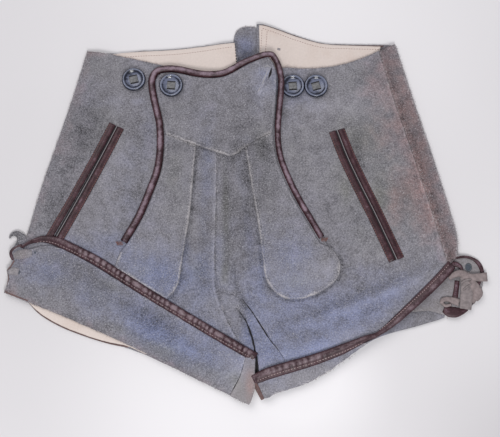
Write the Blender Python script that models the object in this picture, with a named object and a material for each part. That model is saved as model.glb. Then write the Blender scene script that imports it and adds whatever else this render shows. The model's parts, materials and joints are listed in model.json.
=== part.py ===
"""A small child's short suede lederhosen, laid flat on its back.

X runs across the garment, Y from the hems up to the waist, and Z up from the surface that it
lies on.  The back panels rest on that surface.  The front panels lie on them, with a little air
in the middle, and roll down to them at the sides and inseams.  The drop-front flap, the pocket
welts, the cuffs and their bindings lie on the fronts, each 0.3 mm above what carries it.
All tables are in millimetres.
"""

import math

import bpy
from mathutils import Vector

MM = 0.001
CENTRE = Vector((-1.05, 5.63, 0.0))     # the middle of the laid garment, which becomes the origin

# ---- Driving sizes
SUEDE = 1.8             # thickness of the garment leather
FACING = 1.0            # cream lining leather
CUFF_FACING = 1.4       # the thinner piece behind the right vent
STRIP = 1.6             # welts and thongs
GAP = 0.3               # between pieces that touch
LINING_GAP = 0.5        # under the lining, over the back's uneven rise at its slit
LOFT = 3.3              # air between front and back in the middle of the garment
ROLL = 16.0             # how far in from a side edge the front reaches its full height
MOUTH = 0.65            # share of the loft that is left at the waist and hem edges
MOUTH_DEPTH = 35.0      # how far in from those edges the full loft returns
SEAM_FLOOR = SUEDE + GAP
FOLD_STEP = 0.3         # the right side is folded, not sewn, so it stands a little higher
FOLD_RADIUS = 2.2
PIPING_WIDTH = 7.0
PIPING_HEIGHT = 3.3
BINDING_HEIGHT = 2.6
BINDING_WIDTH = 8.0
WELT_WIDTH = 6.8
BUTTON_RADIUS = 10.3
BUTTON_SIDES = 20
THONG = 6.4             # side of the square thong in a button's dish
HEM_INSET = 4.2         # the leg stops this far inside a turned-up cuff's fold
FOLD_FLOOR = SUEDE + GAP + FACING + GAP
SLIT = 0.6              # open cut beside the flap
CORNER_LIFT = 4.6       # the unbuttoned corner of the flap rides over a button
CUFF_ROLL = 7.0         # a turned-up cuff rolls over this width
FOLD_BLUNT = 0.45       # how blunt its fold is
SEAM_GAP = 0.25         # each side of the right side seam

# ---- Back: lines of (x, y), from the waist to the hem or from left to right
BACK_TOP_LEFT = ((-147, 153.5), (-119, 151.5), (-105, 154), (-66, 156), (-38, 159.5), (-9.5, 162.5))
BACK_TOP_RIGHT = ((9.5, 179.5), (15, 179.5), (32, 174), (67, 162.5), (92, 160.5), (136, 160))
SIDE_LEFT = ((-147, 153.5), (-159, 110), (-171, 70), (-184, 29), (-197, -20), (-205, -45), (-212, -69))
CENTRE_BACK_LEFT = (
    (-9.5, 162.5), (-7, 143), (-2, 112), (-1, 80), (-1, 0), (-1, -60), (-3, -92),
    (2.5, -105), (8, -130), (8.5, -146), (-2, -163),
)
CENTRE_BACK_RIGHT = (
    (9.5, 179.5), (9, 148), (1, 112), (-0.4, 80), (-0.4, 0), (-0.4, -60), (-0.8, -92),
    (4.5, -105), (10.5, -132), (12, -148), (14, -160),
)
BACK_HEM_LEFT = (
    (-212, -69), (-194, -78), (-182, -90), (-160, -102), (-127, -113.5),
    (-104, -118), (-85, -127), (-43, -146), (-2, -163),
)
BACK_HEM_RIGHT = ((14, -160), (43, -150), (74, -135), (115, -111), (152, -100), (176, -93))
FOLD_RIGHT = ((138, 160), (154.5, 103), (170.5, 50.5), (186, -5), (189.5, -24), (189, -38))
VENT_RIGHT = ((189, -38), (187, -54), (183, -74), (178, -93))
TONGUE_BOX = (-14.0, 16.0, 138.0)       # left, right and lower edge of the tongue behind the slit
TONGUE_TOP = ((-11.5, 168), (-8.5, 175), (-2, 178), (9, 177.5), (16, 174))

# ---- Fronts
WAIST_LEFT = ((-147, 153), (-128, 150), (-97, 143.5), (-58, 134.5))
WAIST_RIGHT = ((7, 131), (34, 136.5), (50, 136), (67, 136.5), (89, 140), (111, 147.5), (122.5, 153))
SEAM_RIGHT = ((122.5, 153), (135, 107), (143.5, 79.5), (163.5, 14.5), (176, -32.5), (180.5, -46))
CENTRE_FRONT = ((-27, 68), (-27, 8), (-28, -43))
INSEAM_LEFT = ((-24, -69), (-20, -85), (-13, -102), (-5, -114.5), (3, -126), (4, -142))
INSEAM_RIGHT = ((-21, -68), (-4.5, -76.5), (7, -91.5), (25.5, -117), (38, -138))
LEG_GAP = ((-1.8, -92), (3.5, -104.8), (7, -118.8), (9.3, -131.5), (10.3, -148))
GUSSET_MID = ((-22.1, -70.5), (-11, -81.5), (-1.8, -92))
UNDERLAP_LEFT = ((-58, 134.5), (-54, 100), (-55, 36), (-66, -28), (-85, -78))
UNDERLAP_RIGHT = ((7, 131), (5, 100), (5, 70), (15, 13), (29, -55), (41, -90))
FRONT_CORNER_LEFT = (4, -156)           # inner end of the left leg, under its cuff
FRONT_CORNER_RIGHT = (44, -148.5)

# ---- Drop front.  The piping runs up the left slit, over the top and down the right slit
PIPING_LEFT = (
    (-111.5, -29), (-96.5, -2.5), (-86, 23.5), (-80, 42), (-78, 62),
    (-79, 83.5), (-84, 105), (-86.3, 118), (-86, 127),
)
PIPING_TOP = (
    (-80.5, 134), (-66, 135.5), (-44, 131), (-33, 130), (-20, 131.7), (-3, 140.5), (14, 147.5),
)
PIPING_RIGHT = (
    (22.5, 148), (28.5, 140.5), (31, 131), (31.5, 119), (30, 96), (28.5, 75),
    (30.5, 54.5), (36.5, 36.5), (46.5, 15), (58.5, -6), (69.5, -25),
)
YOKE_SEAM = (
    (-58, 68), (-44.5, 63), (-27, 57), (-20, 54.8), (-14, 52.8), (-10, 54), (-2.5, 60.5), (12.5, 70),
)
LOBE_INNER_LEFT = ((-45.5, 62), (-46.5, 52), (-50.5, 0), (-54, -22), (-59.5, -60), (-63, -69), (-70, -76))
LOBE_OUTER_LEFT = ((-111, -33), (-114, -39), (-116.5, -48.5))
LOBE_INNER_RIGHT = ((-1, 60.8), (0.5, 51), (4.5, 27), (11.5, -15), (16.5, -55), (21, -65), (27, -72))
LOBE_OUTER_RIGHT = ((72, -28.5), (77.5, -33), (82.5, -40), (84.5, -48), (82.5, -56), (78, -62))
LOBE_FOOT_RIGHT = ((27, -72), (33, -76), (43, -77.2), (53, -75.5), (66, -70.5), (78, -62))

# ---- Pocket welts: centre lines
WELTS = {
    "pocket_left_welt_outer": ((-121.5, 83), (-135, 55.5), (-147.5, 30.5), (-158, 8.5), (-170.5, -16)),
    "pocket_left_welt_inner": ((-114.3, 79.5), (-121.5, 63), (-132.5, 40.5), (-148, 8.5), (-161.5, -18)),
    "pocket_right_welt_inner": ((78.3, 76), (87.2, 51.5), (98.5, 26), (113, -4.5), (130.2, -43)),
    "pocket_right_welt_outer": ((86, 78), (94.9, 54), (106, 29.2), (120.5, -2), (137.6, -40.5)),
}

# ---- Turned-up left cuff
CUFF_FREE_LEFT = ((-196, -25), (-175, -20.5), (-143.5, -33), (-80.5, -71), (-23, -105.5), (3.5, -121))
CUFF_FOLD_LEFT = ((-215, -70.5), (-156, -94), (-97, -120), (-43, -147), (-14, -160.5))
CUFF_VENT_LEFT = (
    (-206, -27), (-209.5, -31.5), (-210, -35.5), (-207.5, -42),
    (-213.5, -51.5), (-211.5, -57), (-212, -61),
)
CUFF_VENT_TOP = ((-206, -27), (-200, -32))
CUFF_SEAM = ((-0.5, -129), (-5.5, -144), (-14, -160.5))
CUFF_END_INNER = ((6, -122), (7.4, -140), (7.2, -155), (2, -168))
HEM_FACING_TOP = ((-196, -70), (-175, -80), (-120, -103), (-88, -118))
HEM_FACING_LOW = ((-194, -76), (-181, -88), (-159, -100), (-126, -111.5), (-104, -116), (-88, -123.5))

# ---- Right leg: bound edge from the vent to the twist, then the fold of the turned-up corner
LEG_EDGE_RIGHT = (
    (180.5, -46), (172, -62), (145, -87.5), (117, -110), (102, -120),
    (86, -131.5), (57, -148.5), (28, -158), (14, -163),
)
TURNUP_FOLD = ((96, -124.5), (86, -131.5), (57, -148.5), (28, -158), (14, -163))
BINDING_RIGHT = (
    # x, y, width
    (183, -46, 9.0), (171, -59, 9.0), (156, -73.5, 8.5), (133, -94.5, 7.0), (117, -107, 4.0),
    (104, -112, 5.0), (84, -121.5, 8.5), (60, -130, 9.0), (39, -136.5, 9.0), (22, -142.5, 8.5),
    (12.5, -146.5, 8.0),
)
TAB_TOP = ((171, -51), (179, -43), (194, -37.5), (203, -38.5), (210, -46))
TAB_RIGHT = ((210, -46), (212, -56), (210.5, -65), (206, -76), (197, -85.5))
TAB_LOW = ((137, -85), (149, -87.5), (163, -86.5), (173, -89.5), (186, -91), (197, -85.5))
TAB_HIDDEN = ((171, -51), (155, -68), (137, -85))
TAB_SETTLE = (186.0, 206.0)             # between these the tab comes down to the surface

# ---- Soft ridges and troughs in the fronts
FOLDS = (
    # x0, y0, x1, y1, width, height
    (48, -98, 150, -58, 9.0, 1.1),      # where the right cuff used to be folded
    (140, -76, 185, -46, 20.0, 1.7),    # the front rises over the vent tab
    (-118, 60, -140, -10, 16.0, 0.7),
    (100, 95, 112, 60, 15.0, 0.6),
    (-26, 40, -27, -40, 14.0, -0.5),
    (7, 133, 34, 137, 14.0, 1.3),       # over the raised edges of the centre-back slit
)

BUTTONS = (
    # x, y, on the flap
    (-103.0, 124.0, False),
    (-68.5, 118.5, True),
    (42.5, 118.5, False),
    (63.8, 118.5, False),
)
BUTTON_PROFILE = (
    # radius, height
    (8.8, 0.0), (10.0, 0.7), (10.3, 1.7), (10.0, 2.9), (9.2, 3.5), (8.2, 3.5), (7.3, 2.9), (6.2, 1.7),
)
BUTTON_DISH = 1.5

FINISHES = {
    # colour, roughness
    "suede": ((0.27, 0.29, 0.32), 0.95),
    "cream": ((0.78, 0.70, 0.60), 0.85),
    "binding": ((0.12, 0.055, 0.05), 0.45),
    "thong": ((0.33, 0.29, 0.26), 0.9),
    "horn": ((0.05, 0.06, 0.09), 0.2),
}


def blend(amount):
    """An S-shaped step from 0 to 1."""
    amount = min(1.0, max(0.0, amount))
    return amount * amount * (3 - 2 * amount)


def mix(a, b, share):
    return (a[0] + (b[0] - a[0]) * share, a[1] + (b[1] - a[1]) * share)


class Line:
    """A smooth line through a few points, measured along its own length."""

    STEPS = 8

    def __init__(self, *parts, dense=False):
        knots = [tuple(point[:2]) for part in parts for point in part]
        self.points = knots if dense else self.rounded(knots)
        self.along = [0.0]
        for a, b in zip(self.points, self.points[1:]):
            self.along.append(self.along[-1] + math.dist(a, b))
        self.length = self.along[-1]

    @classmethod
    def rounded(cls, knots):
        """Catmull-Rom through the knots, with the end knots repeated."""
        ends = [knots[0]] + knots + [knots[-1]]
        points = []
        for p, a, b, q in zip(ends, ends[1:], ends[2:], ends[3:]):
            for step in range(cls.STEPS):
                t = step / cls.STEPS
                points.append(
                    tuple(
                        a[k]
                        + 0.5 * t * (b[k] - p[k])
                        + t * t * (p[k] - 2.5 * a[k] + 2 * b[k] - 0.5 * q[k])
                        + t ** 3 * (1.5 * (a[k] - b[k]) + 0.5 * (q[k] - p[k]))
                        for k in (0, 1)
                    )
                )
        return points + [knots[-1]]

    def at(self, share):
        """The point at a share of the length."""
        target = min(1.0, max(0.0, share)) * self.length
        for i in range(len(self.points) - 1):
            if target <= self.along[i + 1] or i == len(self.points) - 2:
                span = max(self.along[i + 1] - self.along[i], 1e-9)
                return mix(self.points[i], self.points[i + 1], (target - self.along[i]) / span)

    def nearest(self, x, y):
        """Distance from a point to the line, and the share of the length where that is."""
        best = (1e9, 0.0)
        for i, (a, b) in enumerate(zip(self.points, self.points[1:])):
            dx, dy = b[0] - a[0], b[1] - a[1]
            span = max(dx * dx + dy * dy, 1e-12)
            t = min(1.0, max(0.0, ((x - a[0]) * dx + (y - a[1]) * dy) / span))
            gap = math.hypot(x - a[0] - t * dx, y - a[1] - t * dy)
            if gap < best[0]:
                best = (gap, (self.along[i] + t * math.sqrt(span)) / self.length)
        return best

    def distance(self, x, y):
        return self.nearest(x, y)[0]

    def inside(self, x, y, interior):
        """Distance into the garment: interior is 1 to the left of travel, -1 to the right, 0 on both."""
        gap, share = self.nearest(x, y)
        if interior == 0:
            return gap
        nx, ny = self.side(share)
        ax, ay = self.at(share)
        return gap if interior * ((x - ax) * nx + (y - ay) * ny) > 0 else 0.0

    def side(self, share):
        """The unit direction to the left of travel."""
        a = self.at(share - 0.004)
        b = self.at(share + 0.004)
        reach = max(math.dist(a, b), 1e-9)
        return (-(b[1] - a[1]) / reach, (b[0] - a[0]) / reach)

    def moved(self, left, samples=90):
        """The same line moved to its left."""
        points = []
        for i in range(samples + 1):
            share = i / samples
            x, y = self.at(share)
            nx, ny = self.side(share)
            points.append((x + nx * left, y + ny * left))
        return Line(points, dense=True)

    def part(self, start, end, samples=40):
        return Line([self.at(start + (end - start) * i / samples) for i in range(samples + 1)], dense=True)

    def turned(self):
        return Line(list(reversed(self.points)), dense=True)


def shares(count, dense_start=0.0, dense_end=0.0):
    """count steps from 0 to 1, closer together at the ends where asked."""
    result = []
    for i in range(count + 1):
        t = i / count
        t = t - dense_start * t * (1 - t) ** 2 + dense_end * t * t * (1 - t)
        result.append(t)
    return result


def patch(top, bottom, left, right, across, down):
    """Rows of points that fill four boundary lines."""
    rows = []
    for v in down:
        row = []
        for u in across:
            ends = mix(top.at(u), bottom.at(u), v)
            sides = mix(left.at(v), right.at(v), u)
            corners = mix(mix(top.at(0), top.at(1), u), mix(bottom.at(0), bottom.at(1), u), v)
            row.append((ends[0] + sides[0] - corners[0], ends[1] + sides[1] - corners[1]))
        rows.append(row)
    return rows


def ruled(left, right, across):
    """Rows of points straight across between two lists of points."""
    return [[mix(a, b, u) for u in across] for a, b in zip(left, right)]


def laid(rows, floor, thickness=SUEDE):
    """Give each point of the rows its lower and upper height."""
    return [[(x, y, floor(x, y), floor(x, y) + thickness) for x, y in row] for row in rows]


def cells(rows):
    """The four-cornered cells of a grid of points."""
    return [
        (row[i], row[i + 1], below[i + 1], below[i])
        for row, below in zip(rows, rows[1:])
        for i in range(len(row) - 1)
    ]


# ---- Materials and solids


def finish(name):
    """One material for each finish."""
    material = bpy.data.materials.get(name)
    if material is None:
        colour, roughness = FINISHES[name]
        material = bpy.data.materials.new(name)
        material.use_nodes = True
        shader = material.node_tree.nodes["Principled BSDF"]
        shader.inputs["Base Color"].default_value = (*colour, 1.0)
        shader.inputs["Roughness"].default_value = roughness
        shader.inputs["Metallic"].default_value = 0.0
        material.diffuse_color = (*colour, 1.0)
    return material


def new_object(name, points, faces, finish_name, smooth_angle=40):
    mesh = bpy.data.meshes.new(name)
    mesh.from_pydata([(Vector(point) - CENTRE) * MM for point in points], [], faces)
    mesh.validate()
    mesh.materials.append(finish(finish_name))
    mesh.shade_smooth()
    mesh.set_sharp_from_angle(angle=math.radians(smooth_angle))
    piece = bpy.data.objects.new(name, mesh)
    bpy.context.scene.collection.objects.link(piece)
    return piece


def slab(name, grid_cells, finish_name):
    """A closed solid from cells whose corners are (x, y, low, high)."""
    number = {}
    corners = []
    faces = []
    for cell in grid_cells:
        face = []
        for corner in cell:
            key = (round(corner[0], 3), round(corner[1], 3))
            if key not in number:
                number[key] = len(corners)
                corners.append(corner)
            if number[key] not in face:
                face.append(number[key])
        if len(face) < 3:
            continue
        area = sum(
            corners[a][0] * corners[b][1] - corners[b][0] * corners[a][1]
            for a, b in zip(face, face[1:] + face[:1])
        )
        faces.append(face if area > 0 else face[::-1])
    count = len(corners)
    points = [(x, y, high) for x, y, low, high in corners]
    points += [(x, y, low) for x, y, low, high in corners]
    edges = {(a, b) for face in faces for a, b in zip(face, face[1:] + face[:1])}
    solid = [list(face) for face in faces]
    solid += [[i + count for i in reversed(face)] for face in faces]
    solid += [[b, a, a + count, b + count] for a, b in sorted(edges) if (b, a) not in edges]
    return new_object(name, points, solid, finish_name)


def band(name, line, width, height, floor, finish_name, steps, columns=(-1, -0.5, 0.5, 1)):
    """A rounded strip laid along a line.  width is a number or a function of the share."""
    rows = []
    for i in range(steps + 1):
        share = i / steps
        x, y = line.at(share)
        nx, ny = line.side(share)
        half = 0.5 * (width(share) if callable(width) else width)
        row = []
        for column in columns:
            px, py = x + nx * half * column, y + ny * half * column
            low = floor(px, py)
            crown = 0.45 + 0.55 * math.sqrt(1 - column * column)
            row.append((px, py, low, low + height * crown))
        rows.append(row)
    return slab(name, cells(rows), finish_name)


# ---- Heights.  Each layer's floor is worked out from the one that carries it

WAIST_EDGES = (Line(WAIST_LEFT), Line(WAIST_RIGHT))
HEM_EDGES = (Line(CUFF_FOLD_LEFT), Line(LEG_EDGE_RIGHT))
SIDE_EDGES = (
    # line, and the side of travel that the garment is on
    (Line(SIDE_LEFT), 1),
    (Line(FOLD_RIGHT, VENT_RIGHT), -1),
    (Line(LEG_GAP), 0),
)
FOLD_LINES = [(Line([row[0:2], row[2:4]]), row[4], row[5]) for row in FOLDS]


def front_floor(x, y):
    """Underside of the fronts: low at side edges, half open at waist and hems, full inside."""
    rise = 1.0
    for edge, interior in SIDE_EDGES:
        rise *= math.sin(0.5 * math.pi * min(1.0, edge.inside(x, y, interior) / ROLL))
    for edge in WAIST_EDGES + HEM_EDGES:
        rise *= MOUTH + (1 - MOUTH) * blend(edge.distance(x, y) / MOUTH_DEPTH)
    height = SEAM_FLOOR + LOFT * rise
    height += FOLD_STEP * blend((x - 60) / 60)
    for line, width, lift in FOLD_LINES:
        height += lift * math.exp(-((line.distance(x, y) / width) ** 2)) * min(1.0, 2 * rise)
    return height


def front_roof(x, y):
    return front_floor(x, y) + SUEDE


def trim_floor(x, y):
    """Where welts, buttons, cuffs and bindings lie on a front."""
    return front_roof(x, y) + GAP


def binding_floor(x, y):
    """The stitched bindings bridge the small hollows under them."""
    return trim_floor(x, y) + GAP


def flap_floor(x, y):
    """The flap lies on the fronts, and its unbuttoned corner rises over a button."""
    lift = CORNER_LIFT * blend((x + 22) / 46) * blend((y - 74) / 30)
    return trim_floor(x, y) + lift


def back_floor(x, y):
    """The back rests on the surface and rises over the tongue behind its slit."""
    left, right, low = TONGUE_BOX
    gap = math.hypot(max(left - x, 0.0, x - right), max(low - y, 0.0))
    return (SUEDE + GAP) * blend((28.0 - gap) / 24.0)


def facing_floor(x, y):
    return back_floor(x, y) + SUEDE + LINING_GAP


def tab_floor(x, y):
    """The vent tab lies on the back, and beyond its edge comes down to the surface."""
    start, end = TAB_SETTLE
    return SEAM_FLOOR * (1 - blend((x - start) / (end - start)))


def tab_trim_floor(x, y):
    return tab_floor(x, y) + CUFF_FACING + 2 * GAP


# ---- The pieces


def make_back():
    left = patch(
        Line(BACK_TOP_LEFT),
        Line(BACK_HEM_LEFT),
        Line(SIDE_LEFT),
        Line(CENTRE_BACK_LEFT),
        shares(10, dense_end=0.75),
        shares(16, dense_start=0.7),
    )
    slab("back_left", cells(laid(left, back_floor)), "suede")

    tongue_left, tongue_right, tongue_low = TONGUE_BOX
    tongue = patch(
        Line(TONGUE_TOP),
        Line([(tongue_left, tongue_low), (tongue_right, tongue_low)]),
        Line([TONGUE_TOP[0], (tongue_left, tongue_low)]),
        Line([TONGUE_TOP[-1], (tongue_right, tongue_low)]),
        shares(6),
        shares(4),
    )
    slab("back_tongue", cells(laid(tongue, lambda x, y: 0.0)), "suede")


def make_back_right():
    """The right back is one piece: it folds round the side and is sewn to the front.

    Its outer surface is drawn as a sheet: the flat back, half an ellipse round the fold, and
    the strip that shows on the front.  A Solidify modifier gives it its thickness.
    """
    edge = Line(FOLD_RIGHT, VENT_RIGHT)
    inner_edge = edge.moved(-FOLD_RADIUS)
    wrap_end = Line(FOLD_RIGHT).length / edge.length
    down = shares(18, dense_start=0.7)
    wrap_rows = [v for v in down if v <= wrap_end]
    top = Line(BACK_TOP_RIGHT)
    hem = Line(BACK_HEM_RIGHT)
    top = Line([top.at(i / 30) for i in range(30)] + [inner_edge.at(0)], dense=True)
    hem = Line([hem.at(i / 30) for i in range(30)] + [inner_edge.at(1)], dense=True)
    flat = patch(top, hem, Line(CENTRE_BACK_RIGHT), inner_edge, shares(13, dense_start=0.85), down)

    seam = Line(SEAM_RIGHT).moved(SEAM_GAP)
    turn = [math.radians(angle) for angle in (-50, 0, 50)]
    strip = (0.0, 0.5, 1.0)
    points = []
    faces = []
    width = len(flat[0])
    for row in flat:
        points += [(x, y, back_floor(x, y)) for x, y in row]
    for i in range(len(flat) - 1):
        for j in range(width - 1):
            a = i * width + j
            faces.append([a, a + 1, a + width + 1, a + width])
    previous = None
    for i, v in enumerate(wrap_rows):
        fold_point = edge.at(v)
        start = flat[i][-1]
        seam_point = seam.at(v / wrap_rows[-1])
        height = front_roof(*start)
        ring = [i * width + width - 1]
        for angle in turn:
            out = math.cos(angle)
            x, y = mix(start, fold_point, out)
            ring.append(len(points))
            points.append((x, y, 0.5 * height * (1 + math.sin(angle))))
        for share in strip:
            x, y = mix(start, seam_point, share)
            ring.append(len(points))
            points.append((x, y, front_roof(x, y)))
        if previous:
            for k in range(len(ring) - 1):
                faces.append([previous[k], previous[k + 1], ring[k + 1], ring[k]])
        previous = ring
    piece = new_object("back_right", points, faces, "suede")
    solid = piece.modifiers.new("thickness", "SOLIDIFY")
    solid.thickness = SUEDE * MM
    solid.offset = -1
    solid.use_even_offset = False


def make_facings():
    """Cream leather inside the back waist and inside the left back hem, only where it shows."""
    left = patch(
        Line(((-124, 150.2), (-105, 152.5), (-66, 154.6), (-38, 158), (-11, 160.8))),
        Line(((-121, 134), (-60, 128), (-8, 130))),
        Line(((-124, 150.2), (-121, 134))),
        Line(((-11, 160.8), (-9, 143), (-8, 130))),
        shares(10, dense_end=0.7),
        shares(4),
    )
    slab("waist_facing_left", cells(laid(left, facing_floor, FACING)), "cream")
    right = patch(
        Line(((12, 178), (15.5, 177.8), (32, 172.5), (67, 161), (92, 159), (124, 158))),
        Line(((11, 125), (60, 125), (121, 139))),
        Line(((12, 178), (12.5, 148), (11, 125))),
        Line(((124, 158), (121, 139))),
        shares(12, dense_start=0.7),
        shares(6),
    )
    slab("waist_facing_right", cells(laid(right, facing_floor, FACING)), "cream")
    hem = patch(
        Line(HEM_FACING_TOP),
        Line(HEM_FACING_LOW),
        Line([HEM_FACING_TOP[0], HEM_FACING_LOW[0]]),
        Line([HEM_FACING_TOP[-1], HEM_FACING_LOW[-1]]),
        shares(12),
        shares(2),
    )
    slab("hem_facing_left", cells(laid(hem, facing_floor, FACING)), "cream")


def front_panel(name, waist, side, underlap, hem, split, centre, across, slit_end, slit_sign):
    """A leg front: a side panel and a centre panel, one piece below the end of the flap's slit."""
    down = shares(21)
    outer_hem = hem.part(0, split)
    side_rows = patch(waist, outer_hem, side, underlap, across, down)
    joint = [row[-1] for row in side_rows]
    start = next(i for i, point in enumerate(joint) if point[1] < CENTRE_FRONT[0][1])
    slit = next(i for i, point in enumerate(joint) if point[1] < slit_end)
    left = [(x + slit_sign * SLIT, y) if i < slit else (x, y) for i, (x, y) in enumerate(joint)]
    span = down[-1] - down[start]
    right = [centre.at((v - down[start]) / span) for v in down[start:]]
    centre_rows = ruled(left[start:], right, shares(5))
    pieces = cells(laid(side_rows, front_floor)) + cells(laid(centre_rows, front_floor))
    slab(name, pieces, "suede")
    return right


def make_fronts():
    fold = Line(CUFF_FOLD_LEFT).moved(HEM_INSET)
    split = fold.nearest(-99, -115)[1]
    side = Line(SIDE_LEFT).part(0, 0.965)
    side = Line([side.at(i / 40) for i in range(40)] + [fold.at(0)], dense=True)
    hem = Line([fold.at(i / 40) for i in range(41)] + [FRONT_CORNER_LEFT], dense=True)
    split = hem.nearest(*fold.at(split))[1]
    centre = Line(CENTRE_FRONT, INSEAM_LEFT, [FRONT_CORNER_LEFT]).moved(-0.5 * GAP)
    hem = Line([hem.at(i / 60) for i in range(60)] + [centre.at(1)], dense=True)
    underlap = Line(UNDERLAP_LEFT, [hem.at(split)])
    inseam_left = front_panel(
        "front_left", Line(WAIST_LEFT), side, underlap, hem, split, centre,
        shares(12, dense_start=0.7), -20.0, 1,
    )

    seam = Line(SEAM_RIGHT).moved(-SEAM_GAP)
    edge = Line(LEG_EDGE_RIGHT)
    turn = edge.nearest(*TURNUP_FOLD[0])[1]
    inset = [edge.at(0.84 * turn * i / 20) for i in range(20)]
    folded = Line(TURNUP_FOLD).moved(-HEM_INSET - 0.8)
    inset += [folded.at(i / 20) for i in range(1, 21) if folded.at(i / 20)[0] > FRONT_CORNER_RIGHT[0] + 4]
    centre = Line(CENTRE_FRONT, INSEAM_RIGHT, [FRONT_CORNER_RIGHT]).moved(0.5 * GAP)
    hem = Line([seam.at(1)] + inset[1:] + [centre.at(1)], dense=True)
    split = hem.nearest(60, -143)[1]
    waist = Line(WAIST_RIGHT).turned()
    waist = Line([seam.at(0)] + waist.points[1:], dense=True)
    underlap = Line(UNDERLAP_RIGHT, [hem.at(split)])
    inseam_right = front_panel(
        "front_right", waist, seam, underlap, hem, split, centre,
        shares(12, dense_start=0.3), -18.0, -1,
    )
    return inseam_left, inseam_right


def make_gusset(inseam_left, inseam_right):
    """The crotch piece: two halves between the inseams, parted by the gap between the legs."""
    middle = Line(GUSSET_MID, LEG_GAP[1:], [(10.5, -156)])
    for name, inseam, sign, top, low in (
        ("gusset_left", inseam_left, -1, -70, -132),
        ("gusset_right", inseam_right, 1, -69, -160),
    ):
        seam = [(x, y) for x, y in inseam if low < y < top]
        rows = len(seam) - 1
        depth = min(1.0, middle.nearest(seam[-1][0], seam[-1][1] - 4)[1])
        left = []
        right = []
        for i, (x, y) in enumerate(seam):
            a = seam[max(0, i - 1)]
            b = seam[min(rows, i + 1)]
            reach = math.dist(a, b)
            nx, ny = -(b[1] - a[1]) / reach, (b[0] - a[0]) / reach
            left.append((x - sign * nx * GAP, y - sign * ny * GAP))
            share = depth * i / rows
            mx, my = middle.at(share)
            nx, ny = middle.side(share)
            apart = 0.5 * GAP + 0.8 * blend((share - 0.2) / 0.15)
            right.append((mx + sign * nx * apart, my + sign * ny * apart))
        slab(name, cells(laid(ruled(left, right, shares(4 if sign < 0 else 6)), front_floor)), "suede")


def piping_line():
    return Line(PIPING_LEFT, PIPING_TOP, PIPING_RIGHT)


def make_flap():
    """Yoke and the two long round-ended panels inside the piping, and the piping itself."""
    piping = piping_line()
    inside = piping.moved(-(0.5 * PIPING_WIDTH + 2 * GAP), samples=240)
    top_left = inside.nearest(-78, 130)[1]
    top_right = inside.nearest(20, 144.5)[1]
    yoke_left = inside.nearest(-74.2, 74)[1]
    yoke_right = inside.nearest(24.7, 76)[1]
    seam = Line([inside.at(yoke_left)], YOKE_SEAM, [inside.at(yoke_right)])
    yoke = patch(
        inside.part(top_left, top_right),
        seam,
        inside.part(yoke_left, top_left).turned(),
        inside.part(top_right, yoke_right),
        shares(14),
        shares(10),
    )
    slab("flap_yoke", cells(laid(yoke, flap_floor)), "suede")

    below = seam.moved(-GAP)
    cuff = Line(CUFF_FREE_LEFT).moved(GAP)
    inner = Line(LOBE_INNER_LEFT)
    outer = inside.part(0.0, yoke_left - 0.002).turned()
    outer = Line(outer.points + list(LOBE_OUTER_LEFT), dense=True)
    foot = cuff.part(cuff.nearest(*LOBE_OUTER_LEFT[-1])[1], cuff.nearest(*LOBE_INNER_LEFT[-1])[1])
    outer = Line(outer.points[:-1] + [foot.at(0)], dense=True)
    inner = Line([below.at(below.nearest(*LOBE_INNER_LEFT[0])[1])] + inner.points[1:-1] + [foot.at(1)], dense=True)
    outer = Line([below.at(0.004)] + outer.points[1:], dense=True)
    top = below.part(0.004, below.nearest(*LOBE_INNER_LEFT[0])[1])
    left = patch(top, foot, outer, inner, shares(5), shares(16))
    slab("flap_panel_left", cells(laid(left, flap_floor)), "suede")

    inner = Line(LOBE_INNER_RIGHT)
    start = below.nearest(*LOBE_INNER_RIGHT[0])[1]
    inner = Line([below.at(start)] + inner.points[1:], dense=True)
    outer = inside.part(yoke_right + 0.002, 1.0)
    outer = Line([below.at(0.996)] + outer.points[1:] + list(LOBE_OUTER_RIGHT), dense=True)
    top = below.part(start, 0.996)
    right = patch(top, Line(LOBE_FOOT_RIGHT), inner, outer, shares(7), shares(17))
    slab("flap_panel_right", cells(laid(right, flap_floor)), "suede")

    band("flap_piping", piping.part(0.009, 0.991, 200), PIPING_WIDTH, PIPING_HEIGHT, flap_floor, "binding", 92)


def make_pockets():
    for name, points in WELTS.items():
        band(name, Line(points), WELT_WIDTH, STRIP, trim_floor, "binding", 10)


def rolled_rows(fold, interior, insets, across, depth):
    """The rows of a turned-up cuff that roll down round the leg's edge to the fold."""
    edge = FOLD_FLOOR + 0.5 * SUEDE
    rows = []
    for inset in insets:
        line = fold.moved(interior * inset)
        row = []
        for u in across:
            x, y = line.at(u)
            flat = trim_floor(x, y)
            turn = math.sqrt(1 - (1 - min(1.0, (inset + FOLD_BLUNT) / depth)) ** 2)
            low = flat if inset > HEM_INSET - 0.5 else FOLD_FLOOR
            row.append((x, y, low, edge + (flat + SUEDE - edge) * turn))
        rows.append(row)
    return rows


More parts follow.
